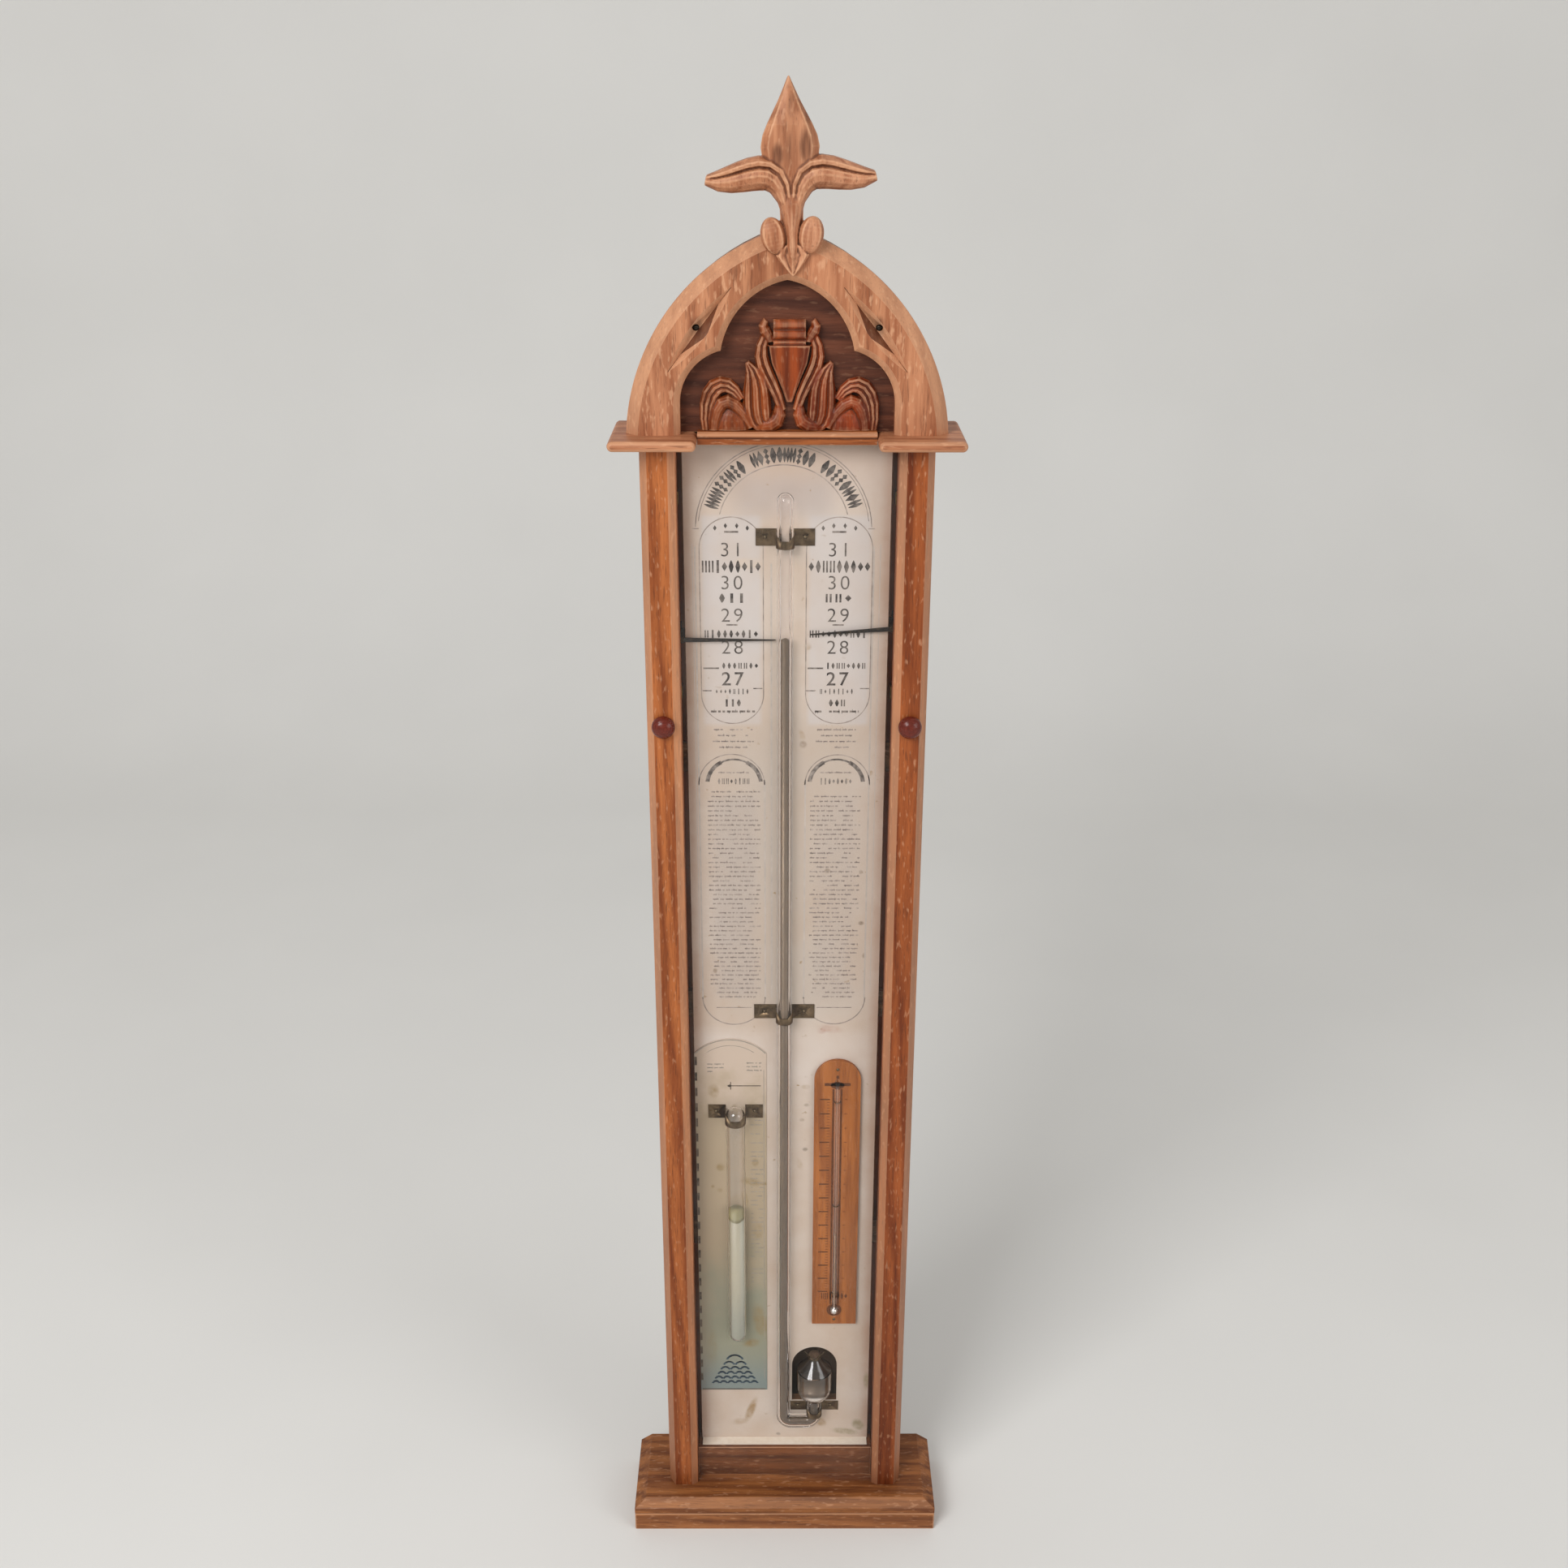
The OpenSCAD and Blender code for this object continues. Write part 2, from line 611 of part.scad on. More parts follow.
// Carved foliage in the arch: a tapering shield under a scroll, between two pairs of leaves.
module foliage() {
    base_d = arch_back_d;
    translate([carving_x, 0, sill_top_z]) {
        // the shield
        loft([for (k = [[20, 2, 4.5], [27, 4.4, 5], [36, 7.8, 5.6], [47, 12.4, 6], [59.5, 14.6, 6.2]])
            leaf_ring([0, k[0]], [0, 1], k[1], base_d, 0, k[2] - 1.2, k[2], BEVELLED)]);
        for (side = [-1, 1]) mirror([side < 0 ? 1 : 0, 0, 0]) {
            // strands beside the shield
            leaf([[16.6, 67], [27, 47], [12, 40], [5.3, 14.4]], [3, 4, 4.8, 5, 4.8, 4.4, 3.8, 3],
                [5.4, 6.4, 7, 7.2, 7.2, 6.8, 6.4, 5.6], base_d, 0, 3.2, PAIRED);
            // upright leaf, fluted, its tip turned outwards
            leaf([[18, 2], [28, 13], [18, 33], [30, 48]], [6.4, 8.6, 9.8, 10, 9.8, 9.2, 7.6, 5, 1.6],
                [6.4, 7.8, 8.4, 8.5, 8.5, 8.4, 8, 7.2, 5.4], base_d, 0, 2.4, FLUTED);
            // lobe at the foot of the upright leaf, hooked round the nail hole
            leaf([[25, 3.5], [15, 1.5], [4.5, 4], [7.4, 19]], [3.4, 5.6, 6.4, 6, 4.8, 2.6],
                [5.4, 7.2, 8.2, 8.2, 7.2, 5.2], base_d, 0, 2.6, ROUNDED);
            // outer leaf that curls over: a ruffled rim, a roll and a boss
            leaf([[58.6, -4], [64, 32], [46, 42], [34, 22]], [3.4, 4.4, 5.4, 6, 6.2, 6, 5.2, 4, 2.4],
                [5, 6.4, 7.4, 7.8, 8, 7.6, 7, 6.2, 5], base_d, 0, 2.6, FLUTED);
            leaf([[54.2, -3.4], [54, 23], [42, 31], [27, 2]], [3.6, 4.4, 5, 5.2, 5, 4.6, 4, 3.4],
                [6.4, 7.6, 8.3, 8.5, 8.5, 8.2, 7.6, 6.4], base_d, 0, 3.4, ROUNDED);
            leaf([[41, -2.6], [41, 4], [41, 10], [41, 15.4]], [12, 11.8, 10.6, 8.2, 3.6], [7, 7.6, 7.4, 6.6, 5],
                base_d, 0, 3.4, ROUNDED);
            // curl at the end of the scroll
            leaf([[16.6, 77], [22, 71], [14.6, 69], [13.6, 62]], [2, 3.4, 4, 3.6, 2.6],
                [5.2, 7.2, 8, 7.2, 5.4], base_d, 0, 2.4, ROUNDED);
        }
        // the scroll on top, rolled twice over a narrow fillet
        translate([-10, back_y - base_d - 2.8, 59]) cube([20, 2.8, 16]);
        for (k = [[61.4, 1.8], [67.2, 3.5], [74, 3.7]]) translate([-11.4, back_y - base_d - 2.8, k[0]])
            rotate([0, 90, 0]) intersection() {
                cylinder(h = 22.8, r = k[1], $fn = 20);
                translate([-6, -6, 0]) cube([12, 8.7, 23]);
            }
    }
}

// The foliage, cut level along its foot so that it stands on the sill strip.
module tympanum_carving() {
    color("sienna") difference() {
        foliage();
        block(-impost_in, impost_in, arch_back_d - 2, arch_front_d, sill_top_z - 12, sill_top_z);
    }
}

// Moulded strip along the foot of the arch opening.
module sill_strip() {
    gap = 0.2;
    front = arch_front_d - 1;
    foot_z = impost_z + 0.3;
    color("sienna") translate([-impost_in + gap, 0, 0]) rotate([90, 0, 90])
        linear_extrude(2 * (impost_in - gap)) polygon([[back_y - arch_back_d, foot_z],
            [back_y - arch_back_d, sill_top_z], [back_y - front + 3, sill_top_z],
            [back_y - front + 0.8, sill_top_z - 1], [back_y - front, sill_top_z - 3],
            [back_y - front + 1.6, sill_top_z - 5], [back_y - front + 2, foot_z]]);
}

module arch_front() {
    color(oak) difference() {
        intersection() {
            arch_disc(1);
            arch_disc(-1);
            block(-arch_r, arch_r, 0, 2 * arch_front_d, head_z, head_z + arch_r);
        }
        trefoil_cutter();
        for (side = [-1, 1]) on_side(side) haunch_groove();
        arch_screw_set(0.05);
    }
}

// Round-headed screws in the haunch grooves, through the arch into the head block.
module arch_screw_set(play) {
    seat = arch_front_d - haunch_d;
    start = panel_back_d - 10;
    for (side = [-1, 1]) {
        x = side * haunch_screw[0];
        z = head_z + haunch_screw[1];
        peg(x, z, start, seat - start, screw_r + play);
        if (play > 0) peg(x, z, seat, haunch_d + 1, 2.4 + play);
    }
}
module arch_screws() {
    seat = arch_front_d - haunch_d;
    color("dimgray") {
        arch_screw_set(0);
        for (side = [-1, 1]) difference() {
            translate([side * haunch_screw[0], back_y - seat, head_z + haunch_screw[1]])
                rotate([90, 0, 0]) intersection() {
                    translate([0, 0, -0.6]) sphere(r = 2.5);
                    cylinder(h = 3, r = 2.4);
                }
            block(side * haunch_screw[0] - 3, side * haunch_screw[0] + 3, seat + 1.2, seat + 4,
                head_z + haunch_screw[1] - 0.3, head_z + haunch_screw[1] + 0.3);
        }
    }
}

// Carved finial: a spear between two drooping leaves, on a stem with two ears and a tongue.
module finial() {
    s = finial_h / 95.8;
    k = leaf_reach / 60;
    base_d = arch_front_d;
    back = arch_t;
    proud = finial_proud;
    spear = [for (t = [[7, 18], [11, 28], [15, 36], [18.8, 45], [19.8, 52], [18.4, 59], [15.2, 66],
        [12, 72], [7.2, 81], [3.5, 89], [0.5, 95.8]]) [t[0] * k, t[1] * s]];
    color("burlywood") translate([2.8, 0, crown_z]) rotate([0, -finial_lean, 0]) {
        loft([for (t = spear) leaf_ring([0, t[1]], [0, 1], t[0], base_d, back * min(1, t[0] / 12),
            proud * (t[0] > 12 ? 0.3 : 0.1), proud * min(1, 0.3 + t[0] / 20), BEVELLED)]);
        for (side = [-1, 1]) mirror([side < 0 ? 1 : 0, 0, 0]) {
            leaf([[2.6 * k, 3 * s], [6 * k, 57 * s], [30 * k, 26 * s], [57.6 * k, 32 * s]],
                [2, 4.8, 8, 10.2, 11, 11, 10.6, 9.8, 8.6, 6.6, 3.2] * k,
                [0.5, 0.9, 1.05, 1.15, 1.25, 1.25, 1.2, 1.1, 1, 0.85, 0.7] * proud,
                base_d, back * 0.7, 0.6, DROOPED);
            translate([13 * k, 0, -4.6 * s]) finial_ear(k, s, base_d);
        }
        // the stem, from the leaves down on to the tongue
        loft([for (t = [[-24, 0.6, 5], [-18, 3, 7.2], [-12, 4, 7.8], [-5, 4.2, 8], [2, 5.4, 8], [9, 7, 8],
            [16, 9.2, 7.8], [22, 10, 6.6]])
            leaf_ring([0, t[0] * s], [0, 1], t[1] * k, base_d, 0, 1, t[2] * proud / 8, ROUNDED)]);
        // the part behind it, which stands on the crown of the arch
        loft([for (t = [[0.3, 7.6], [12, 8], [26, 9.5]])
            leaf_ring([0, t[0] * s], [0, 1], t[1] * k, base_d, back, 0.2, 0.6, BEVELLED)]);
        // the tongue that points down over the crown, rimmed and ridged
        loft([for (t = [[-31.5, 0.5, 3], [-27, 4.6, 4.8], [-22, 8.6, 5.8], [-17.6, 11.4, 6.2],
            [-15, 9.6, 6.2], [-11, 5, 6]])
            leaf_ring([0, t[0] * s], [0, 1], t[1] * k, base_d, 0, t[2] * 0.4, t[2] * proud / 8,
                RIMMED)]);
    }
}
// An ear of the finial, a domed lobe.
module finial_ear(k, s, base_d) {
    half_h = 12 * s;
    half_w = 8.6 * k;
    loft([for (a = [-84:14:84]) leaf_ring([2.4 * sin(a) * k, half_h * sin(a)], [0.2, 1],
        half_w * cos(a), base_d, 0, finial_proud * 0.35 * (0.5 + 0.5 * cos(a)),
        finial_proud * (0.35 + 0.65 * cos(a)), BEVELLED)]);
}

// Battens that carry the register board between the two sides.
module board_battens() {
    t = 6;
    color(oak) for (z = [plinth_h + 0.27 * case_h, plinth_h + 0.51 * case_h, knob_z - 39])
        block(-side_in, side_in, board_back_d - t, board_back_d, z - 12, z + 12);
}

// Three-cornered blocks glued into the corners of the case.
module glue_blocks() {
    leg = 14;
    color(oak) for (side = [-1, 1], z = [plinth_h, impost_z - 34]) on_side(side)
        translate([side_in, back_y - back_t, z]) linear_extrude(34)
            polygon([[0, 0], [-leg, 0], [0, -leg * 0.7]]);
}

// The board's holes: the arched cut-out for the bottle cistern and the pins.
hole_half = bulb_r + 4.5;
module cistern_hole(d, t) {
    top = bottle_top_z + 7.5;
    slab(d, t) union() {
        translate([bulb_x, top - hole_half]) circle(r = hole_half);
        translate([bulb_x - hole_half, bulb_z - 1]) square([2 * hole_half, top - hole_half - bulb_z + 1]);
    }
}
module register_board() {
    color("tan") difference() {
        block(-board_w / 2, board_w / 2, board_back_d, plate_d - paper_t, board_z, impost_z);
        cistern_hole(board_back_d - 1, board_t + 2);
        all_pin_holes();
    }
}
module register_paper() {
    edge = 0.4;
    color("antiquewhite") difference() {
        block(-board_w / 2 + edge, board_w / 2 - edge, plate_d - paper_t, plate_d, board_z, impost_z);
        cistern_hole(board_back_d - 1, board_t + 4);
        all_pin_holes();
    }
}

module front_glass() {
    reach = post_in + groove_depth - 0.3;
    color([0.8, 0.9, 0.9, 0.3])
        block(-reach, reach, glass_d, glass_d + glass_t, plinth_h, impost_z - 0.2);
}

// The J-shaped tube, drawn with r as its radius: long leg, two bends and the bottle's neck.
bend_z = tube_bottom_z + tube_r + bend_r;
module j_path(r, top_z, neck_top) {
    rod(tube_x, tube_d, bend_z, top_z, r);
    rod(bulb_x, tube_d, bend_z, neck_top, r);
    for (e = [[tube_x, 180], [bulb_x, 270]])
        translate([e[0] + (e[1] == 180 ? bend_r : -bend_r), back_y - tube_d, bend_z])
            rotate([90, 0, 0]) rotate([0, 0, e[1]]) rotate_extrude(angle = 90)
                translate([bend_r, 0]) circle(r = r);
    translate([tube_x + bend_r, back_y - tube_d, bend_z - bend_r]) rotate([0, 90, 0])
        cylinder(h = bulb_x - tube_x - 2 * bend_r, r = r);
}
module bottle(r, top_cut) {
    mid = bulb_z + bulb_r;
    neck_r = 5.5 - (bulb_r - r);
    translate([bulb_x, back_y - bulb_d, 0]) difference() {
        union() {
            translate([0, 0, mid]) sphere(r = r);
            translate([0, 0, mid]) cylinder(h = bulb_len, r = r);
            translate([0, 0, mid + bulb_len]) cylinder(h = bulb_r * 0.75, r1 = r, r2 = neck_r);
            translate([0, 0, mid + bulb_len]) cylinder(h = bulb_r * 1.05, r = neck_r);
        }
        translate([-50, -50, top_cut]) cube([100, 100, 500]);
    }
}
bottle_top_z = bulb_z + bulb_r + bulb_len + bulb_r * 1.05;
module barometer_tube() {
    color([0.85, 0.88, 0.85, 0.5]) difference() {
        union() {
            j_path(tube_r, tube_top_z - tube_r, bulb_z + bulb_r);
            rod_end(tube_x, tube_d, tube_top_z - tube_r, tube_r);
            bottle(bulb_r, bottle_top_z);
        }
        j_path(tube_bore_r, tube_top_z - tube_r, bulb_z + bulb_r);
        rod_end(tube_x, tube_d, tube_top_z - tube_r, tube_bore_r);
        bottle(bulb_r - glass_wall, bottle_top_z + 1);
    }
}
module rod_end(x, d, z, r) {
    translate([x, back_y - d, z]) sphere(r = r);
}
module mercury() {
    film = 0.1;
    color("silver") union() {
        j_path(tube_bore_r - film, mercury_z, bulb_z + bulb_r - film);
        rod_end(tube_x, tube_d, mercury_z - tube_bore_r * 0.6, tube_bore_r - film);
        bottle(bulb_r - glass_wall - film, cistern_level_z);
    }
}

module cistern_bung() {
    plug_r = 5.5 - glass_wall - 0.02;
    color("burlywood") translate([bulb_x, back_y - bulb_d, bottle_top_z]) {
        translate([0, 0, -4]) cylinder(h = 4, r = plug_r);
        intersection() {
            translate([0, 0, -3.2]) sphere(r = 6.2);
            cylinder(h = 5, r = 6);
        }
    }
}
module cistern_wire() {
    wire_r = 0.45;
    ring_r = 5.5 + wire_r + 0.02;
    z = bottle_top_z - 2;
    color(old_brass) translate([bulb_x, back_y - bulb_d, z]) {
        rotate_extrude() translate([ring_r, 0]) circle(r = wire_r, $fn = 16);
        for (side = [-1, 1]) translate([0, -ring_r, 0]) rotate([14, side * 34, 0])
            cylinder(h = 17, r = wire_r, $fn = 16);
    }
}

module upper_tube_clip() {
    color(old_brass) clip(tube_x, upper_clip_z, upper_clip_w, clip_h, tube_r, tube_d, plate_d);
}
module lower_tube_clip() {
    color(old_brass) clip(tube_x, lower_clip_z, lower_clip_w, clip_h, tube_r, tube_d, plate_d);
}
module cistern_clip() {
    color(old_brass) clip(bulb_x, cistern_clip_z, cistern_clip_w, cistern_clip_h, tube_r, tube_d,
        plate_d);
}
module storm_clip() {
    color(old_brass) clip(storm_x, storm_clip_z, storm_clip_w, clip_h, storm_r, storm_d,
        plate_d + card_t);
}
module clip_pins() {
    color(old_brass) {
        clip_pin_pair(tube_x, upper_clip_z, upper_clip_w, tube_r, plate_d);
        clip_pin_pair(tube_x, lower_clip_z, lower_clip_w, tube_r, plate_d);
        clip_pin_pair(bulb_x, cistern_clip_z, cistern_clip_w, tube_r, plate_d);
        clip_pin_pair(storm_x, storm_clip_z, storm_clip_w, storm_r, plate_d + card_t);
    }
}

// Card with an arched top, behind the storm glass.
module storm_card() {
    rise = 14;
    r = (card_w * card_w / 4 + rise * rise) / (2 * rise);
    color("lightsteelblue") difference() {
        slab(plate_d, card_t) translate([card_x, card_z]) {
            translate([-card_w / 2, 0]) square([card_w, card_h - rise]);
            intersection() {
                translate([0, card_h - r]) circle(r = r, $fn = 120);
                translate([-card_w / 2, card_h - rise - 1]) square([card_w, rise + 2]);
            }
        }
        all_pin_holes();
    }
}

// Sealed tube of the storm glass, and the liquid in it.
storm_level = storm_z + 142;
module storm_tube() {
    wall = glass_wall;
    color([0.85, 0.9, 0.9, 0.4]) difference() {
        capsule(storm_x, storm_d, storm_z, storm_z + storm_len, storm_r);
        capsule(storm_x, storm_d, storm_z + wall, storm_z + storm_len - wall, storm_r - wall);
    }
}
module capsule(x, d, z0, z1, r) {
    rod(x, d, z0 + r, z1 - r, r);
    rod_end(x, d, z0 + r, r);
    rod_end(x, d, z1 - r, r);
}
module storm_liquid() {
    film = glass_wall + 0.1;
    color("whitesmoke") difference() {
        capsule(storm_x, storm_d, storm_z + film, storm_z + storm_len - film, storm_r - film);
        block(storm_x - storm_r, storm_x + storm_r, 0, 2 * storm_d, storm_level,
            storm_z + storm_len);
    }
}

// Thermometer: wooden plate with a groove, sealed tube, thread, staples and pins.
module thermometer_plate() {
    r = thermo_w / 2;
    color("goldenrod") difference() {
        slab(plate_d, thermo_t) translate([thermo_x, thermo_z]) {
            translate([-r, 0]) square([thermo_w, thermo_h - r]);
            translate([0, thermo_h - r]) circle(r = r, $fn = 90);
        }
        capsule(thermo_x, thermo_tube_d, thermo_bulb_z - 8, thermo_top_z + 3, thermo_tube_r + 0.05);
        peg(thermo_x, thermo_bulb_z, plate_d - 1, thermo_t + 2, thermo_bulb_r + 0.8);
        for (z = thermo_pin_z()) peg(thermo_x, z, plate_d - 1, thermo_t + 2, pin_r + pin_play);
    }
}
thermo_bulb_z = thermo_z + 15.5;
thermo_top_z = thermo_z + thermo_h - 21;
thermo_bulb_r = 3.4;
thermo_bore_r = 0.7;
module thermometer_tube() {
    color([0.9, 0.9, 0.9, 0.6]) difference() {
        union() {
            rod(thermo_x, thermo_tube_d, thermo_bulb_z, thermo_top_z - thermo_tube_r, thermo_tube_r);
            rod_end(thermo_x, thermo_tube_d, thermo_top_z - thermo_tube_r, thermo_tube_r);
            rod_end(thermo_x, thermo_tube_d, thermo_bulb_z, thermo_bulb_r);
        }
        rod(thermo_x, thermo_tube_d, thermo_bulb_z, thermo_top_z - 2 * thermo_tube_r, thermo_bore_r);
        rod_end(thermo_x, thermo_tube_d, thermo_bulb_z, thermo_bulb_r - 0.6);
    }
}
module thermometer_thread() {
    film = 0.05;
    color("dimgray") {
        rod(thermo_x, thermo_tube_d, thermo_bulb_z, thermo_z + 0.36 * thermo_h, thermo_bore_r - film);
        rod_end(thermo_x, thermo_tube_d, thermo_bulb_z, thermo_bulb_r - 0.6 - film);
    }
}
module thermometer_staples() {
    wire_r = 0.35;
    loop_r = thermo_tube_r + wire_r + 0.03;
    color(old_brass) for (share = [0.13, 0.47, 0.855])
        translate([thermo_x, back_y - thermo_tube_d, thermo_z + share * thermo_h]) {
            rotate([0, 0, 180]) rotate_extrude(angle = 180) translate([loop_r, 0])
                circle(r = wire_r, $fn = 16);
            for (side = [-1, 1]) translate([side * loop_r, 0, 0]) rotate([-90, 0, 0])
                cylinder(h = 0.8, r = wire_r, $fn = 16);
        }
}
module thermometer_pins() {
    start = board_back_d + 2;
    face = plate_d + thermo_t;
    color(old_brass) for (z = thermo_pin_z()) {
        peg(thermo_x, z, start, face - start, pin_r);
        translate([thermo_x, back_y - face, z]) rotate([90, 0, 0]) intersection() {
            translate([0, 0, -0.7]) sphere(r = 1.5);
            cylinder(h = 2, r = 1.4);
        }
    }
}

// Domed knob on the front of a post.
module knob(side) {
    seat = post_front_d + 0.3;
    color("maroon") on_side(side) translate([post_x, back_y - seat, knob_z]) rotate([90, 0, 0])
        difference() {
            rotate_extrude() polygon(concat([[0, 0], [knob_r - 1.4, 0], [knob_r - 1.4, 1.4]],
                [for (a = [0:10:90]) [knob_r * cos(a), 2.2 + 7 * sin(a)]]));
            translate([0, 0, -1]) cylinder(h = 6.2, r = spindle_r + seat_play);
        }
}
module left_knob() { knob(-1); }
module right_knob() { knob(1); }

// Outline of a grooved pulley and its hub, in radius and length from its back face.
function pulley_outline(bore, hub_len) = [[bore, 0], [pulley_r, 0], [pulley_r, 1],
    [pitch_r - cord_r - 0.15, pulley_t / 2 - cord_r - 0.1],
    [pitch_r - cord_r - 0.15, pulley_t / 2 + cord_r + 0.1],
    [pulley_r, pulley_t - 1], [pulley_r, pulley_t], [hub_r, pulley_t], [hub_r, hub_len],
    [bore, hub_len]];
pulley_back_d = cord_d - pulley_t / 2;
hub_len = case_d - 0.3 - pulley_back_d;

// Spindle turned in one piece with its drive pulley.
module spindle(side) {
    color("goldenrod") on_side(side) translate([post_x, back_y - pulley_back_d, knob_z])
        rotate([90, 0, 0]) union() {
            rotate_extrude() polygon(pulley_outline(0, hub_len));
            cylinder(h = post_front_d + 5.3 - pulley_back_d, r = spindle_r);
        }
}
module left_spindle() { spindle(-1); }
module right_spindle() { spindle(1); }

module idler(side) {
    color("goldenrod") on_side(side) translate([post_x, back_y - pulley_back_d, idler_z])
        rotate([90, 0, 0]) rotate_extrude() polygon(pulley_outline(rod_r + run_gap, hub_len));
}
module left_idler() { idler(-1); }
module right_idler() { idler(1); }

module idler_pin(side) {
    head = pulley_back_d - 0.3;
    color("silver") on_side(side) {
        peg(post_x, idler_z, head, case_d + 6 - head, rod_r);
        peg(post_x, idler_z, head - 1.2, 1.2, 2.8);
    }
}
module left_idler_pin() { idler_pin(-1); }
module right_idler_pin() { idler_pin(1); }

// Endless drive cord, round the drive pulley and the idler.
module drive_cord(side) {
    color("khaki") on_side(side) translate([post_x, back_y - cord_d, 0]) {
        for (x = [-1, 1]) translate([x * pitch_r, 0, knob_z]) cylinder(h = idler_z - knob_z, r = cord_r,
            $fn = 16);
        translate([0, 0, idler_z]) rotate([90, 0, 0]) rotate_extrude(angle = 180)
            translate([pitch_r, 0]) circle(r = cord_r, $fn = 16);
        translate([0, 0, knob_z]) rotate([90, 0, 0]) rotate([0, 0, 180]) rotate_extrude(angle = 180)
            translate([pitch_r, 0]) circle(r = cord_r, $fn = 16);
    }
}
module left_cord() { drive_cord(-1); }
module right_cord() { drive_cord(1); }

// Steel guide rod in two wooden blocks on the inside of the case side.
guide_low_z = knob_z + 5;
guide_high_z = idler_z - 18;
module guide(side) {
    color("silver") on_side(side) union() {
        rod(rod_x, rod_d, guide_low_z, guide_high_z + 10, rod_r);
        for (z = [guide_low_z, guide_high_z]) block(rod_x - 3, side_in, rod_d - 5, rod_d + 4, z, z + 10);
    }
}
module left_guide() { guide(-1); }
module right_guide() { guide(1); }

// Slider that runs on the guide rod, with the arm that carries the pointer forward.
arm_x = board_w / 2 + 0.6;
module slider(side, z) {
    in_x = rod_x - 3;
    out_x = post_x - pitch_r + 2.4;
    arm_w = in_x + 1 - arm_x;
    color("goldenrod") on_side(side) difference() {
        union() {
            block(in_x, out_x, rod_d - 3.5, cord_d + 2.4, z - slider_h / 2, z + slider_h / 2);
            block(arm_x, arm_x + arm_w, cord_d - 3, needle_d + needle_t, z - 2.5, z + 2.5);
        }
        rod(rod_x, rod_d, z - slider_h, z + slider_h, rod_r + run_gap);
        rod(post_x - pitch_r, cord_d, z - slider_h, z + slider_h, cord_r + 0.4);
    }
}
module left_slider() { slider(-1, left_pointer_z); }
module right_slider() { slider(1, right_pointer_z); }

// Tapered pointer over the printed plate, from its slider towards the tube.
module needle(side, z, reach, droop) {
    root = 1.7;
    tip = 0.35;
    lean = root * tan(droop);
    color("black") on_side(side) translate([arm_x, 0, z]) rotate([0, -droop, 0])
        slab(needle_d, needle_t)
            polygon([[lean, root], [-lean, -root], [-reach * 0.35, -1.2], [-reach, -tip], [-reach, tip],
                [-reach * 0.35, 1.2]]);
}
module left_pointer() { needle(-1, left_pointer_z, arm_x + tube_x - tube_r - 0.8, 0); }
module right_pointer() { needle(1, right_pointer_z, arm_x - 17.5, right_droop); }

plinth_base();
plinth_top();
plinth_screws();
back_board();
back_screws();
left_side();
right_side();
left_post();
right_post();
bottom_rail();
ledge_strip();
top_rail();
left_impost();
right_impost();
head_block();
tympanum_panel();
tympanum_carving();
sill_strip();
arch_front();
arch_screws();
finial();
board_battens();
glue_blocks();
register_board();
register_paper();
front_glass();
barometer_tube();
mercury();
cistern_bung();
cistern_wire();
upper_tube_clip();
lower_tube_clip();
cistern_clip();
storm_clip();
clip_pins();
storm_card();
storm_tube();
storm_liquid();
thermometer_plate();
thermometer_tube();
thermometer_thread();
thermometer_staples();
thermometer_pins();
left_knob();
right_knob();
left_spindle();
right_spindle();
left_idler();
right_idler();
left_idler_pin();
right_idler_pin();
left_cord();
right_cord();
left_guide();
right_guide();
left_slider();
right_slider();
left_pointer();
right_pointer();
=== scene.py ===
"""Looks of a glazed oak wall barometer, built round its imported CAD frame.

The file is laid out as an add-on: each operator dresses one group of pieces, and the panel lists them.
Places are given as (x, depth, height) in millimetres, the depth measured forward from the back face.
Limits along an axis in a shader are in metres, as the coordinates that it reads are.
"""

import math
import random

import bmesh
import bpy
import numpy as np
from mathutils import Matrix, Vector


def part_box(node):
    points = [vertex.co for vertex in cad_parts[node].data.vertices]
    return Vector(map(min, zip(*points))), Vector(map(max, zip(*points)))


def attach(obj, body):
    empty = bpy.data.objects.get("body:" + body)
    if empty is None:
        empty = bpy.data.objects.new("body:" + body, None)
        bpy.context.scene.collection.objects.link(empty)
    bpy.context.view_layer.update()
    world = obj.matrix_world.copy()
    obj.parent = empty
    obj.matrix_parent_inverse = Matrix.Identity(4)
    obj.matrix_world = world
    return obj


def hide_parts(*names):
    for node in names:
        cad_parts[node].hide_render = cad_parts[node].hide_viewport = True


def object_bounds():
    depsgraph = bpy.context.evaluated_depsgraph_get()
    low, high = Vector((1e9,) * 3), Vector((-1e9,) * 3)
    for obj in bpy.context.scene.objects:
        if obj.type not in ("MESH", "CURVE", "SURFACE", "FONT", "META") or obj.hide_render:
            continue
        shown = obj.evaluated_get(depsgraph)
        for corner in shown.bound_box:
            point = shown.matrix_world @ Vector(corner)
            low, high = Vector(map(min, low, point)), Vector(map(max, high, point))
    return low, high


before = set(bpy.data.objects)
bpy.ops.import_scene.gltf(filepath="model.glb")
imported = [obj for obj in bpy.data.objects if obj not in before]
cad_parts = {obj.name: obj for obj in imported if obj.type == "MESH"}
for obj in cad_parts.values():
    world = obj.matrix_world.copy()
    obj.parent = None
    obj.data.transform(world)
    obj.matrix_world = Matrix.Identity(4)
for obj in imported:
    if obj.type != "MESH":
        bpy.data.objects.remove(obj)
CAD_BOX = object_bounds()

bl_info = {
    "name": "Glazed wall barometer",
    "version": (1, 0, 0),
    "blender": (4, 5, 0),
    "location": "3D View > Sidebar > Barometer",
    "description": "Dresses the packed frame of a glazed oak wall barometer",
    "category": "Object",
}

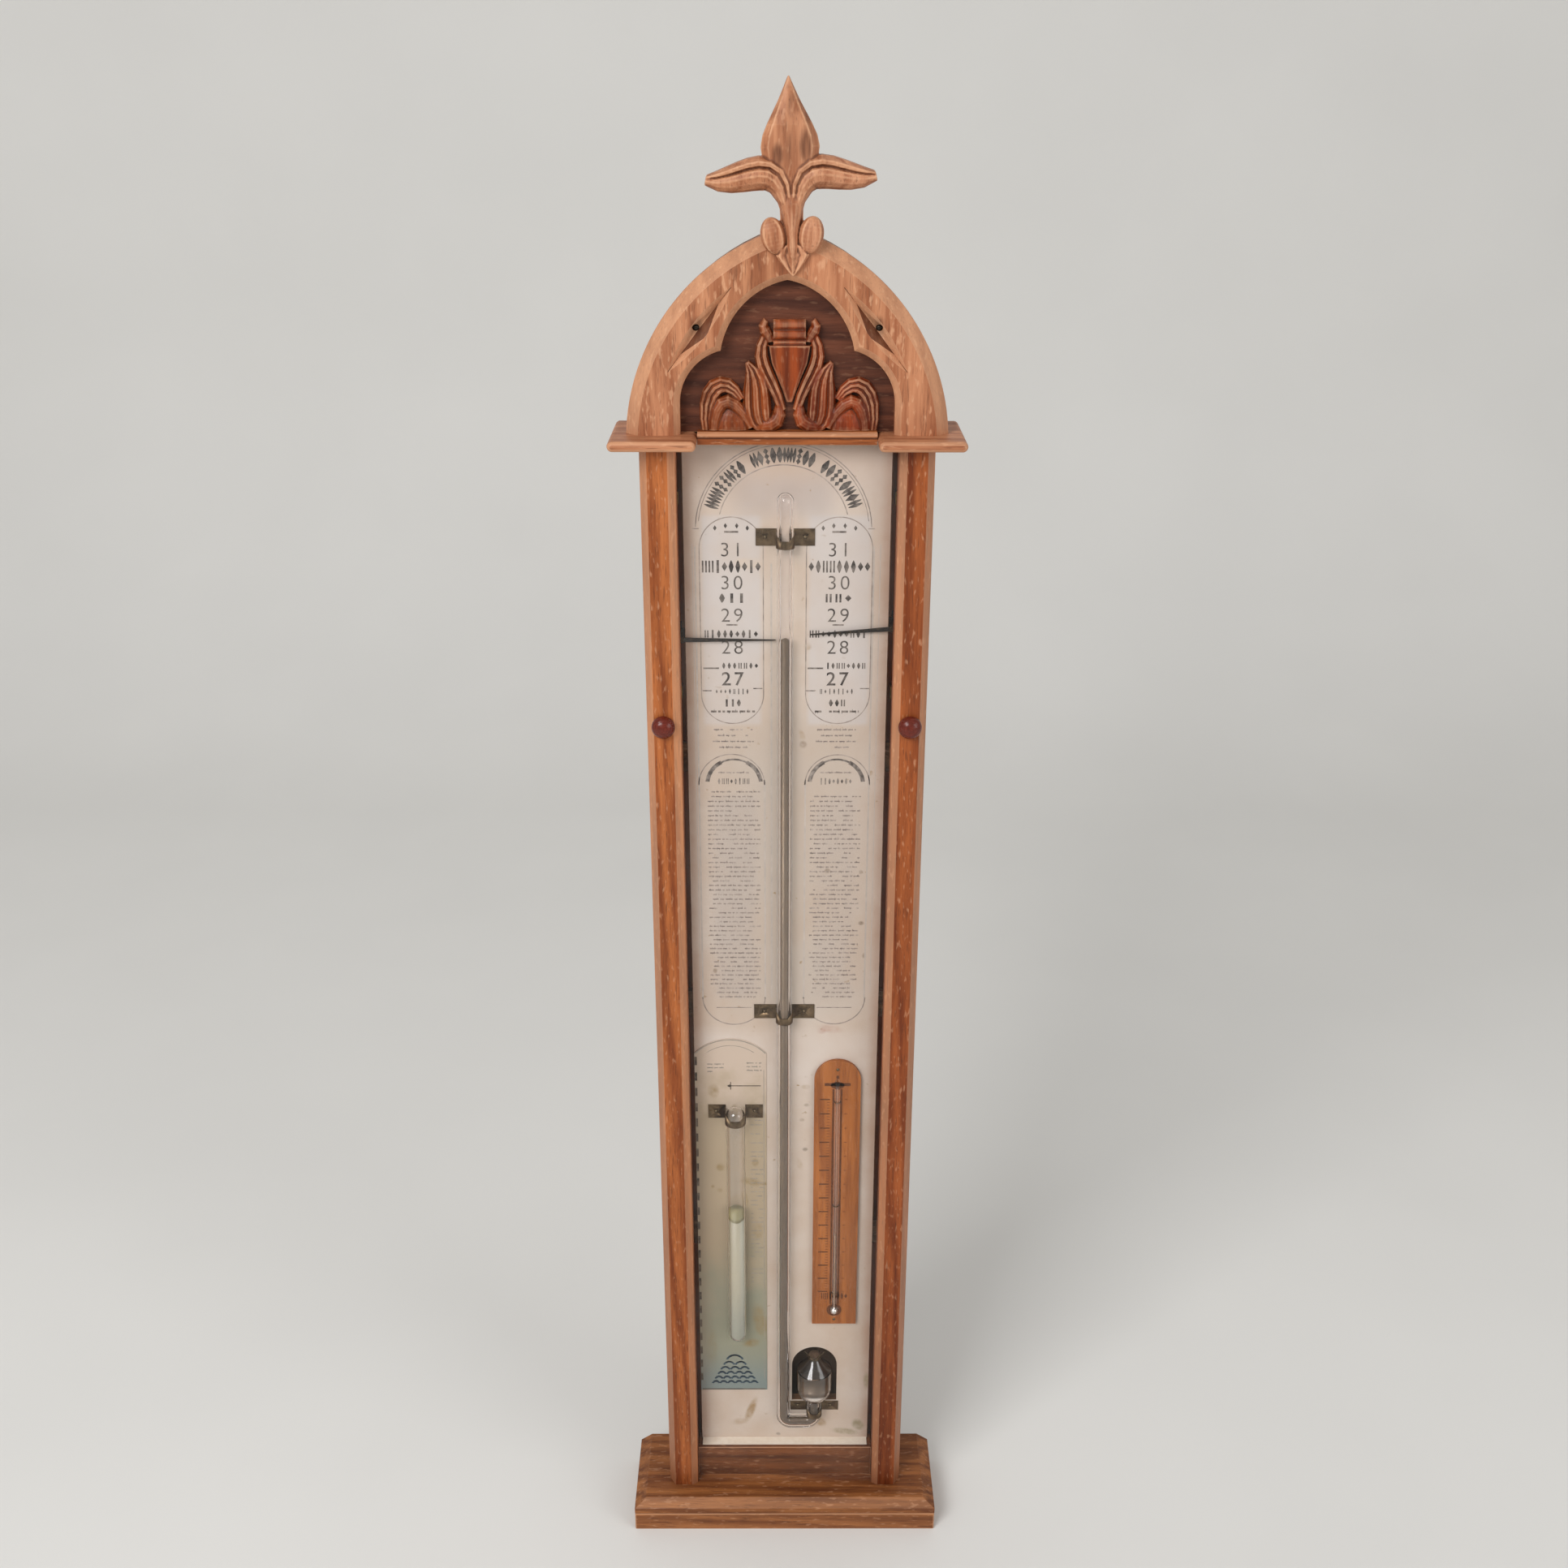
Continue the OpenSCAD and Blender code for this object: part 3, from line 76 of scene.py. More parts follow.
MM = 0.001
BACK_Y = CAD_BOX[1].y
PLATE_D = (BACK_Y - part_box("register_paper")[0].y) / MM
CARD_D = (BACK_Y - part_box("storm_card")[0].y) / MM
THERMO_D = (BACK_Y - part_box("thermometer_plate")[0].y) / MM
SIDE_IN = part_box("right_side")[0].x / MM
BACK_T = (BACK_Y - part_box("back_board")[0].y) / MM
FRONT = Matrix.Rotation(math.pi / 2, 4, "X")


def at(x, d, z):
    """A point from millimetres: across, forward from the back face, and up."""
    return Vector((x * MM, BACK_Y - d * MM, z * MM))


def tint(red, green, blue):
    """A colour given as screen values from 0 to 255, as the linear values that sockets hold."""
    return tuple(
        (v / 255 / 12.92 if v <= 10 else ((v / 255 + 0.055) / 1.055) ** 2.4) for v in (red, green, blue)
    )


# Sizes and colours that a user would change


def colour(name, description, value):
    """A colour, given as screen values."""
    return bpy.props.FloatVectorProperty(
        name=name, description=description, subtype="COLOR", size=3, min=0, max=1, default=tint(*value)
    )


def length(name, description, value):
    """A length, given in millimetres."""
    return bpy.props.FloatProperty(
        name=name, description=description, subtype="DISTANCE", unit="LENGTH", min=0, default=value * MM
    )


def power(name, description, value):
    """The power of a lamp, in watts."""
    return bpy.props.FloatProperty(
        name=name, description=description, subtype="POWER", unit="POWER", min=0, default=value
    )


def group(name, description, kind):
    """A group of sizes and colours within the barometer's own."""
    return bpy.props.PointerProperty(name=name, description=description, type=kind)


class TimberLooks(bpy.types.PropertyGroup):
    case_light: colour("Case, light", "Light fibres of the posts and sides", (188, 111, 60))
    case_dark: colour("Case, dark", "Dark fibres of the posts and sides", (128, 63, 29))
    head_light: colour("Head, light", "Light fibres of the arch, imposts and finial", (205, 143, 105))
    head_dark: colour("Head, dark", "Dark fibres of the arch, imposts and finial", (159, 97, 65))
    plinth_light: colour("Plinth, light", "Light fibres of the plinth", (166, 106, 60))
    plinth_dark: colour("Plinth, dark", "Dark fibres of the plinth", (110, 62, 34))
    panel_light: colour("Panel, light", "Light fibres of the panel in the arch", (114, 66, 46))
    panel_dark: colour("Panel, dark", "Dark fibres of the panel in the arch", (70, 37, 26))
    # the pore colour also paints shade into hollows, undersides and the walls of grooves
    pore: colour("Pores", "Pores and dirt in the grain", (78, 40, 24))
    # pale rays and rubbed edges, and the painted highlight of ridges and chamfers
    pale_and_highlight: colour("Worn edge", "Rubbed edges", (216, 165, 128))
    edge: length("Edge round", "Rounding of the timber edges", 0.8)
    carving_grain: length("Carving voxel", "Size of the voxels that the carving is remeshed with", 0.55)


class PlateLooks(bpy.types.PropertyGroup):
    paper: colour("Paper", "Clean paper of the register plate", (204, 190, 178))
    paper_brown: colour("Paper, browned", "Browned paper of the register plate", (190, 168, 149))
    stain: colour("Stain", "Brown stains on the paper", (150, 120, 78))
    ink: colour("Ink", "Bold marks", (58, 52, 50))
    grey_ink: colour("Grey ink", "Fine marks", (134, 121, 114))
    digit_height: length("Digit height", "Height of the inch numbers", 11.2)
    line: length("Line", "Width of a fine printed line", 0.8)
    film: length("Ink film", "Thickness of the printed film", 0.03)


class MetalAndGlassLooks(bpy.types.PropertyGroup):
    brass: colour("Brass", "Aged brass of the clips", (120, 100, 76))
    brass_dark: colour("Brass, dark", "Tarnish on the clips", (54, 42, 33))
    mercury: colour("Mercury", "Mercury seen through the tube", (98, 79, 58))
    pane: colour("Pane", "Tint of the front glass", (234, 228, 220))
    knob: colour("Knob", "Polished wood of the knobs", (110, 38, 24))


class StageLooks(bpy.types.PropertyGroup):
    floor: colour("Floor", "Floor and backdrop", (226, 225, 222))
    key_watts: power("Key lamp", "Power of the large lamp", 70)
    fill_watts: power("Fill lamp", "Power of the fill lamp", 22)
    sky: bpy.props.FloatProperty(name="Sky", description="Strength of the even light", min=0, default=0.5)
    lens: bpy.props.FloatProperty(
        name="Lens", description="Focal length", subtype="DISTANCE_CAMERA", min=1, default=39.91
    )


class BarometerLooks(bpy.types.PropertyGroup):
    timber: group("Timber", "Timber colours", TimberLooks)
    plate: group("Plate", "Paper and print", PlateLooks)
    metal: group("Metal and glass", "Metal and glass", MetalAndGlassLooks)
    stage: group("Stage", "Floor, lamps and camera", StageLooks)


# Shader nodes


class Shader:
    """One material's node tree, with short ways to add and join its nodes."""

    def __init__(self, name):
        self.material = bpy.data.materials.new(name)
        self.material.use_nodes = True
        self.tree = self.material.node_tree
        self.tree.nodes.clear()
        self.out = self.tree.nodes.new("ShaderNodeOutputMaterial")
        self.where = self.add("TexCoord").outputs["Object"]

    def add(self, kind, inputs=None, **settings):
        made = self.tree.nodes.new("ShaderNode" + kind)
        for key, value in settings.items():
            setattr(made, key, value)
        for key, value in (inputs or {}).items():
            self.feed(made.inputs[key], value)
        return made

    def feed(self, socket, value):
        if isinstance(value, bpy.types.NodeSocket):
            self.tree.links.new(value, socket)
        elif socket.type == "RGBA" and len(value) == 3:
            socket.default_value = (*value, 1)
        else:
            socket.default_value = value

    def place(self, vector, location=(0, 0, 0), rotation=(0, 0, 0), scale=(1, 1, 1)):
        return self.add(
            "Mapping", {"Vector": vector, "Location": location, "Rotation": rotation, "Scale": scale}
        ).outputs[0]

    def noise(self, vector, scale, detail, roughness):
        return self.add(
            "TexNoise", {"Vector": vector, "Scale": scale, "Detail": detail, "Roughness": roughness}
        ).outputs["Fac"]

    def span(self, value, low, high, to_low=0.0, to_high=1.0, smooth=False):
        return self.add(
            "MapRange",
            {"Value": value, "From Min": low, "From Max": high, "To Min": to_low, "To Max": to_high},
            interpolation_type="SMOOTHSTEP" if smooth else "LINEAR",
        ).outputs[0]

    def mix(self, factor, a, b, blend="MIX"):
        made = self.add("Mix", data_type="RGBA", blend_type=blend)
        for index, value in ((0, factor), (6, a), (7, b)):
            self.feed(made.inputs[index], value)
        return made.outputs[2]

    def maths(self, operation, a, b=0.0):
        return self.add("Math", {0: a, 1: b}, operation=operation).outputs[0]

    def times(self, *values):
        """The product of two or more values."""
        product = values[0]
        for value in values[1:]:
            product = self.maths("MULTIPLY", product, value)
        return product

    def attribute(self, name):
        return self.add("Attribute", attribute_name=name).outputs["Fac"]

    def axis(self, name):
        return self.add("SeparateXYZ", {0: self.where}).outputs[name]

    def bump(self, height, strength, distance):
        return self.add("Bump", {"Height": height, "Strength": strength, "Distance": distance}).outputs[0]

    def blot(self, x, z, half_w, half_h, turn=0.0):
        """1 inside an oval centred at x and z millimetres, fading to 0 at its rim."""
        shifted = self.place(self.where, location=(-x * MM, 0, -z * MM))
        turned = self.place(shifted, rotation=(0, math.radians(turn), 0))
        scaled = self.place(turned, scale=(1 / (half_w * MM), 0, 1 / (half_h * MM)))
        far = self.add("VectorMath", {0: scaled}, operation="LENGTH").outputs["Value"]
        return self.span(far, 0.35, 1.0, 1.0, 0.0, smooth=True)

    def zone(self, x0, x1, z0, z1, soft):
        """1 inside a box in X and Z, in millimetres, fading to 0 across soft at its rim."""
        near = self.span(self.axis("X"), x0 * MM, (x0 + soft) * MM, smooth=True)
        past = self.span(self.axis("X"), x1 * MM, (x1 - soft) * MM, smooth=True)
        low = self.span(self.axis("Z"), z0 * MM, (z0 + soft) * MM, smooth=True)
        high = self.span(self.axis("Z"), z1 * MM, (z1 - soft) * MM, smooth=True)
        return self.times(near, past, low, high)

    def surface(self, colour_in, roughness, normal=None, **sockets):
        inputs = {"Base Color": colour_in, "Roughness": roughness, **sockets}
        if normal is not None:
            inputs["Normal"] = normal
        made = self.add("BsdfPrincipled", inputs)
        self.tree.links.new(made.outputs[0], self.out.inputs[0])
        return made


def drawn_out(along, share):
    """The scale that stretches a pattern along one axis."""
    return tuple(share if axis == along else 1 for axis in "XYZ")


def oak(name, light, dark, along, shift, pores=0.6, rays=0.35, rough=0.42, foot=False, hollow=False,
        ridge_highlight=0.8, wear=0.75, chamfer_light=0.42, sides=None, scars=(), inner=None):
    """Oak: wavy growth lines, fibres and pores that run along one axis, rubbed edges, and painted light and
    shade.

    foot darkens the lower end. hollow reads a carving's attribute of that name in place of a rounded
    copy's, and paints shade in the pore colour into its hollows and undersides and a highlight onto its
    ridges. ridge_highlight, wear and chamfer_light say how pale ridges, rounded edges and chamfers turn:
    the pale ridges and chamfers are painted highlight, the rounded edges wear. The walls of grooves get
    painted shade in the pore colour. sides is what the right-hand half is multiplied by, painted light and
    shade on that half. scars are dark spots: x, z, half width, half height and strength. inner gives what
    faces into the case other colours: axis, edge, width of the change, and the colours of its middle and
    its flanks, which are painted shade and painted light in the dim case.
    """
    looks = bpy.context.scene.barometer.timber
    s = Shader(name)
    shifted = s.place(s.where, location=shift)
    grain = s.place(shifted, scale=drawn_out(along, 0.06))
    wide = s.place(shifted, scale=drawn_out(along, 0.25))
    rings = s.add(
        "TexWave",
        {"Vector": grain, "Scale": 34.0, "Distortion": 9.0, "Detail": 3.0, "Detail Scale": 1.4,
         "Detail Roughness": 0.6},
        wave_type="BANDS", bands_direction="DIAGONAL",
    ).outputs["Fac"]
    fibre = s.noise(grain, 620, 5, 0.65)
    cloud = s.noise(wide, 26, 3, 0.55)
    streak = s.noise(grain, 170, 4, 0.6)
    tone = s.maths("ADD", s.times(rings, 0.34), s.times(fibre, 0.5))
    tone = s.maths("ADD", tone, s.times(s.span(streak, 0.3, 0.7), 0.3))
    shade = s.mix(s.span(tone, 0.3, 0.85), dark, light)
    shade = s.mix(s.span(cloud, 0.28, 0.72), s.mix(1.0, shade, (0.72, 0.68, 0.64), "MULTIPLY"), shade)
    # painted light and shade: the right-hand half is multiplied by sides
    if sides is not None:
        shade = s.mix(s.span(s.axis("X"), -0.02, 0.02), shade, s.mix(1.0, shade, sides, "MULTIPLY"))
    pore = s.span(s.noise(grain, 1100, 3, 0.5), 0.56, 0.68)
    shade = s.mix(s.times(pore, pores), shade, tuple(looks.pore))
    ray = s.span(s.noise(s.place(shifted, scale=drawn_out(along, 0.3)), 420, 2, 0.4), 0.6, 0.72)
    shade = s.mix(s.times(ray, rays), shade, tuple(looks.pale_and_highlight))
    for x, z, half_w, half_h, strength in scars:
        spot = s.times(s.blot(x, z, half_w, half_h), s.span(streak, 0.42, 0.58, 0.3, 1.0))
        shade = s.mix(s.times(spot, strength), shade, tuple(looks.pore))
    patch = s.noise(s.where, 130, 4, 0.6)
    if hollow:
        depth = s.attribute("hollow")
        # painted shade in the pore colour in the hollows and on the undersides of a carving
        shade = s.mix(s.span(depth, 0.06, 0.8, 0.0, 0.72), shade, tuple(looks.pore))
        # painted highlight on the ridges of a carving, partly wear
        shade = s.mix(s.times(s.span(depth, -0.12, -0.75), s.span(patch, 0.3, 0.6, 0.3 * ridge_highlight, ridge_highlight)),
                      shade, tuple(looks.pale_and_highlight))
    else:
        cut = s.attribute("cut")
        # chamfers painted paler: painted highlight
        shade = s.mix(s.span(cut, 0.0, 1.0, 0.0, chamfer_light), shade, tuple(looks.pale_and_highlight))
        # walls of grooves painted darker: painted shade
        shade = s.mix(s.span(cut, 0.0, -1.0, 0.0, 0.78), shade, tuple(looks.pore))
        rubbed = s.times(s.attribute("wear"), s.span(patch, 0.36, 0.6, 0.1, wear))
        shade = s.mix(rubbed, shade, tuple(looks.pale_and_highlight))
    if inner is not None:
        # what faces into the case: painted shade in the dim middle and painted light in the slots
        axis, edge, width, middle, flank = inner
        far = s.maths("ABSOLUTE", s.axis(axis))
        within = s.mix(s.span(s.maths("ABSOLUTE", s.axis("X")), 0.056, 0.064), middle, flank)
        shade = s.mix(s.span(far, edge * MM, (edge + width) * MM, 1.0, 0.0), shade, within)
    if foot:
        low = s.span(s.axis("Z"), 0.03, 0.75, 0.72, 1.0)
        lowest = s.span(s.axis("Z"), 0.032, 0.06, 0.75, 1.0, smooth=True)
        level = s.times(low, lowest)
        green, blue = s.maths("POWER", level, 1.25), s.maths("POWER", level, 1.4)
        deeper = s.add("CombineColor", {0: level, 1: green, 2: blue}).outputs[0]
        shade = s.mix(1.0, shade, deeper, "MULTIPLY")
    bumps = s.maths("SUBTRACT", s.times(fibre, 0.5), s.times(pore, 0.7))
    s.surface(shade, s.span(fibre, 0.2, 0.8, rough - 0.06, rough + 0.12),
              s.bump(bumps, 0.35, 0.0003), **{"Specular IOR Level": 0.22})
    return s.material


def metal(name, bright, tarnish, rough, amount=0.6, scale=220, rim=0.0):
    """Old metal with patches of tarnish, darker by rim on rounded edges."""
    s = Shader(name)
    spots = s.span(s.noise(s.where, scale, 5, 0.65), 0.35, 0.62)
    fine = s.noise(s.where, scale * 7, 3, 0.5)
    shade = s.mix(s.times(spots, amount), bright, tarnish)
    shade = s.mix(s.times(s.attribute("wear"), rim), shade, tarnish)
    s.surface(shade, s.span(fine, 0.3, 0.7, rough, rough + 0.2), s.bump(fine, 0.2, 0.0001), Metallic=1.0)
    return s.material


# Meshes


def made(name, mesh, body, slot, material, *nodes):
    """Puts a finished mesh in the scene, on its body, standing for any CAD nodes; slot is not used."""
    piece = bpy.data.objects.new(name, mesh)
    bpy.context.scene.collection.objects.link(piece)
    mesh.materials.clear()
    mesh.materials.append(material)
    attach(piece, body)
    if nodes:
        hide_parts(*nodes)
    return piece


def dress(material, *nodes):
    """Gives CAD nodes a material."""
    for node in nodes:
        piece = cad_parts[node]
        if not piece.data.materials:
            piece.data.materials.append(material)
        for slot in piece.material_slots:
            slot.material = material


def merged(node):
    """A copy of a CAD node with its loose triangles joined."""
    bm = bmesh.new()
    bm.from_mesh(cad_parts[node].data)
    bmesh.ops.remove_doubles(bm, verts=bm.verts, dist=1e-6)
    return bm


def as_mesh(bm, name):
    """Makes a mesh of a bmesh and frees it."""
    mesh = bpy.data.meshes.new(name)
    bm.to_mesh(mesh)
    bm.free()
    return mesh


def softened(node, name, slot, material, width, shortest, turn=25.0):
    """A copy of a node with its long sharp edges rounded over, and the rounding marked in the wear attribute.

    The face attribute cut is 1 on a chamfer and -1 on the wall of a groove.
    """
    bm = merged(node)
    bmesh.ops.dissolve_limit(bm, angle_limit=math.radians(0.4), use_dissolve_boundaries=False,
                             verts=bm.verts, edges=bm.edges, delimit=set())
    sharp = [
        e for e in bm.edges
        if e.is_manifold and e.is_convex and e.calc_face_angle() > math.radians(turn)
        and e.calc_length() > shortest * MM
    ]
    done = bmesh.ops.bevel(bm, geom=sharp, offset=width * MM, offset_type="OFFSET", segments=2,
                           profile=0.5, affect="EDGES", material=-1, clamp_overlap=True)
    rounded = set(done["faces"])
    wear = bm.verts.layers.float.new("wear")
    cut = bm.faces.layers.float.new("cut")
    for v in bm.verts:
        v[wear] = 1.0 if all(f in rounded for f in v.link_faces) else 0.0
    for f in bm.faces:
        f.smooth = f in rounded
        # a face that looks aslant to the front is a chamfer or the wall of a groove
        if not f.smooth and 0.3 < abs(f.normal.y) < 0.93:
            walls = (e for e in f.edges if e.is_manifold and not e.is_convex)
            f[cut] = -1.0 if any(e.calc_face_angle() > math.radians(20) for e in walls) else 1.0
        # a small face that hardly turns from its neighbours is part of a curve
        if not f.smooth:
            angles = [e.calc_face_angle(9) for e in f.edges if e.is_manifold]
            f.smooth = any(0.003 < a < 0.3 for a in angles) and f.calc_area() < 4e-4
    return made(name, as_mesh(bm, name), "case", slot, material, node)


def swollen(node, name, slot, material, by=0.08):
    """A copy of a liquid pushed out past its clearance, so that the glass wets it."""
    bm = merged(node)
    bm.normal_update()
    moves = [v.normal * (by * MM) for v in bm.verts]
    for v, move in zip(bm.verts, moves):
        v.co += move
    for f in bm.faces:
        f.smooth = True
    return made(name, as_mesh(bm, name), "case", slot, material, node)


def hollow_attribute(mesh, scales):
    """Marks hollows and undersides with positive and ridges with negative values, for painted shade and
    highlight.

    The value comes from how far smoothing moves each point. Each scale is a number of passes, the move in
    millimetres that counts as 1, and its share of the mark.
    """
    count = len(mesh.vertices)
    co = np.empty(count * 3)
    mesh.vertices.foreach_get("co", co)
    co = co.reshape(-1, 3)
    normal = np.empty(count * 3)
    mesh.vertices.foreach_get("normal", normal)
    normal = normal.reshape(-1, 3)
    ends = np.empty(len(mesh.edges) * 2, int)
    mesh.edges.foreach_get("vertices", ends)
    a, b = ends[::2], ends[1::2]
    degree = np.maximum(np.bincount(ends, minlength=count), 1)[:, None]
    total = np.zeros(count)
    moved, steps = co.copy(), 0
    for passes, reach, share in scales:
        while steps < passes:
            summed = np.zeros_like(moved)
            for k in range(3):
                summed[:, k] = np.bincount(a, moved[b, k], count) + np.bincount(b, moved[a, k], count)
            moved = 0.5 * moved + 0.5 * summed / degree
            steps += 1
        total += share * np.clip(((moved - co) * normal).sum(1) / (reach * MM), -1, 1)
    # faces that point down are marked too, for painted shade on undersides
    total += 0.55 * np.clip(-normal[:, 2] - 0.25, 0, 1)
    mark = mesh.attributes.new("hollow", "FLOAT", "POINT")
    mark.data.foreach_set("value", np.clip(total, -1, 1).astype(np.float32))


def carved(node, name, slot, material, voxel):
    """A copy of a carved node, remeshed and smoothed so that its cuts look cut by hand."""
    rough = bpy.data.objects.new(name + "_rough", as_mesh(merged(node), name + "_rough"))
    bpy.context.scene.collection.objects.link(rough)
    remesh = rough.modifiers.new("voxels", "REMESH")
    remesh.mode = "VOXEL"
    remesh.voxel_size = voxel
    remesh.use_smooth_shade = True
    smooth = rough.modifiers.new("knife", "SMOOTH")
    smooth.factor = 0.5
    smooth.iterations = 3
    bpy.context.view_layer.update()
    mesh = bpy.data.meshes.new_from_object(rough.evaluated_get(bpy.context.evaluated_depsgraph_get()))
    bpy.data.objects.remove(rough)
    hollow_attribute(mesh, ((6, 0.12, 0.6), (24, 0.5, 0.6)))
    return made(name, mesh, "case", slot, material, node)


class Print:
    """Collects flat printed marks on one face and makes them one thin mesh."""

    def __init__(self, face_d):
        self.bm = bmesh.new()
        self.film = bpy.context.scene.barometer.plate.film / MM
        self.d = face_d + self.film / 2

    def spot(self, x, z, w, h, turn=0.0):
        """What takes a unit shape to x and z, w across and h up, turned clockwise by turn degrees."""
        return (Matrix.Translation(at(x, self.d, z)) @ Matrix.Rotation(math.radians(turn), 4, "Y")
                @ Matrix.Diagonal((w * MM, self.film * MM, h * MM, 1)))

    def bar(self, x, z, w, h):
        """A bar centred at x and z."""
        bmesh.ops.create_cube(self.bm, size=1, matrix=self.spot(x, z, w, h))

    def oval(self, x, z, w, h, turn=0.0, sides=8, waist=0.0):
        """A filled oval or lozenge centred at x and z; waist draws its ends to points."""
        done = bmesh.ops.create_cone(self.bm, cap_ends=True, cap_tris=False, segments=sides, radius1=0.5,
                                     radius2=0.5, depth=1, matrix=Matrix.Rotation(math.pi / 2, 4, "X"))
        for v in done["verts"]:
            v.co.x *= 1 - waist * abs(v.co.z) * 2
        bmesh.ops.transform(self.bm, matrix=self.spot(x, z, w, h, turn), verts=done["verts"])

    def arc(self, x, z, r, start, end, width):
        """A curved line of radius r from angle start to end, in degrees from +X towards +Z."""
        steps = max(3, int(abs(end - start) / 6))
        a = math.radians(start)
        square = bmesh.ops.create_grid(self.bm, x_segments=1, y_segments=1, size=0.5)
        radial = Vector((math.cos(a), 0, math.sin(a)))
        for v in square["verts"]:
            across, deep = v.co.x, v.co.y
            out = radial * ((r + across * width) * MM)
            v.co = at(x, self.d, z) + out + Vector((0, deep * self.film * MM, 0))
        face = square["verts"][0].link_faces[0]
        bmesh.ops.spin(self.bm, geom=[*face.verts, *face.edges, face], cent=at(x, self.d, z), axis=(0, 1, 0),
                       angle=-math.radians(end - start), steps=steps, use_merge=False)

    def capsule(self, x0, x1, z0, z1, width):
        """The outline of an upright band with half-round ends."""
        r, mid = (x1 - x0) / 2, (x0 + x1) / 2
        self.arc(mid, z1 - r, r, 0, 180, width)
        self.arc(mid, z0 + r, r, 180, 360, width)
        for x in (x0, x1):
            self.bar(x, (z0 + z1) / 2, width, z1 - z0 - 2 * r)

    def number(self, text, x, z, height, spread, weight):
        """A plain number centred at x and z."""
        curve = bpy.data.curves.new("number", "FONT")
        curve.body = text
        curve.align_x = "CENTER"
        curve.size = height * MM / 0.73
        curve.space_character = spread
        curve.offset = weight * MM
        curve.extrude = self.film * MM / 2
        holder = bpy.data.objects.new("number", curve)
        mesh = bpy.data.meshes.new_from_object(holder)
        mesh.transform(Matrix.Translation(at(x, self.d, z - height / 2)) @ FRONT)
        self.bm.from_mesh(mesh)
        bpy.data.objects.remove(holder)
        bpy.data.meshes.remove(mesh)
        bpy.data.curves.remove(curve)

    def broken(self, x0, x1, z, height, pick, fill, ticks=0.5):
        """A row of short bars of uneven length, with small ticks above and below."""
        x = x0
        while x < x1:
            w = min(pick.uniform(1.4, 6.5), x1 - x)
            if w > 0.6 and pick.random() < fill:
                self.bar(x + w / 2, z, w, height * 0.55)
                for k in range(int(w * ticks)):
                    self.bar(x + pick.uniform(0.2, w - 0.2), z + pick.choice((-0.25, 0.3)) * height, 0.35,
                             height * 0.7)
            x += w + pick.uniform(0.7, 1.5)

    def border(self, x0, x1, z, height, pitch, pick, weight=1.0):
        """A row of lozenges, bars and ovals."""
        count = max(1, round((x1 - x0) / pitch))
        for k in range(count):
            x = x0 + (k + 0.5) * (x1 - x0) / count
            kind = pick.choice(("lens", "pair", "bar", "lozenge"))
            w = pitch * 0.62 * weight
            if kind == "lens":
                self.oval(x, z, w, height, waist=0.5)
            elif kind == "pair":
                self.bar(x - w * 0.34, z, w * 0.34, height * 0.9)
                self.bar(x + w * 0.34, z, w * 0.34, height * 0.9)
            elif kind == "bar":
                self.bar(x, z, w * 0.5, height)
            else:
                self.oval(x, z, w * 1.1, height * 0.7, sides=4)

    def finish(self, name, material, slot="printed_paper"):
        """Puts the marks in the scene as one piece."""
        bmesh.ops.recalc_face_normals(self.bm, faces=self.bm.faces)
        return made(name, as_mesh(self.bm, name), "case", slot, material)


# Operators


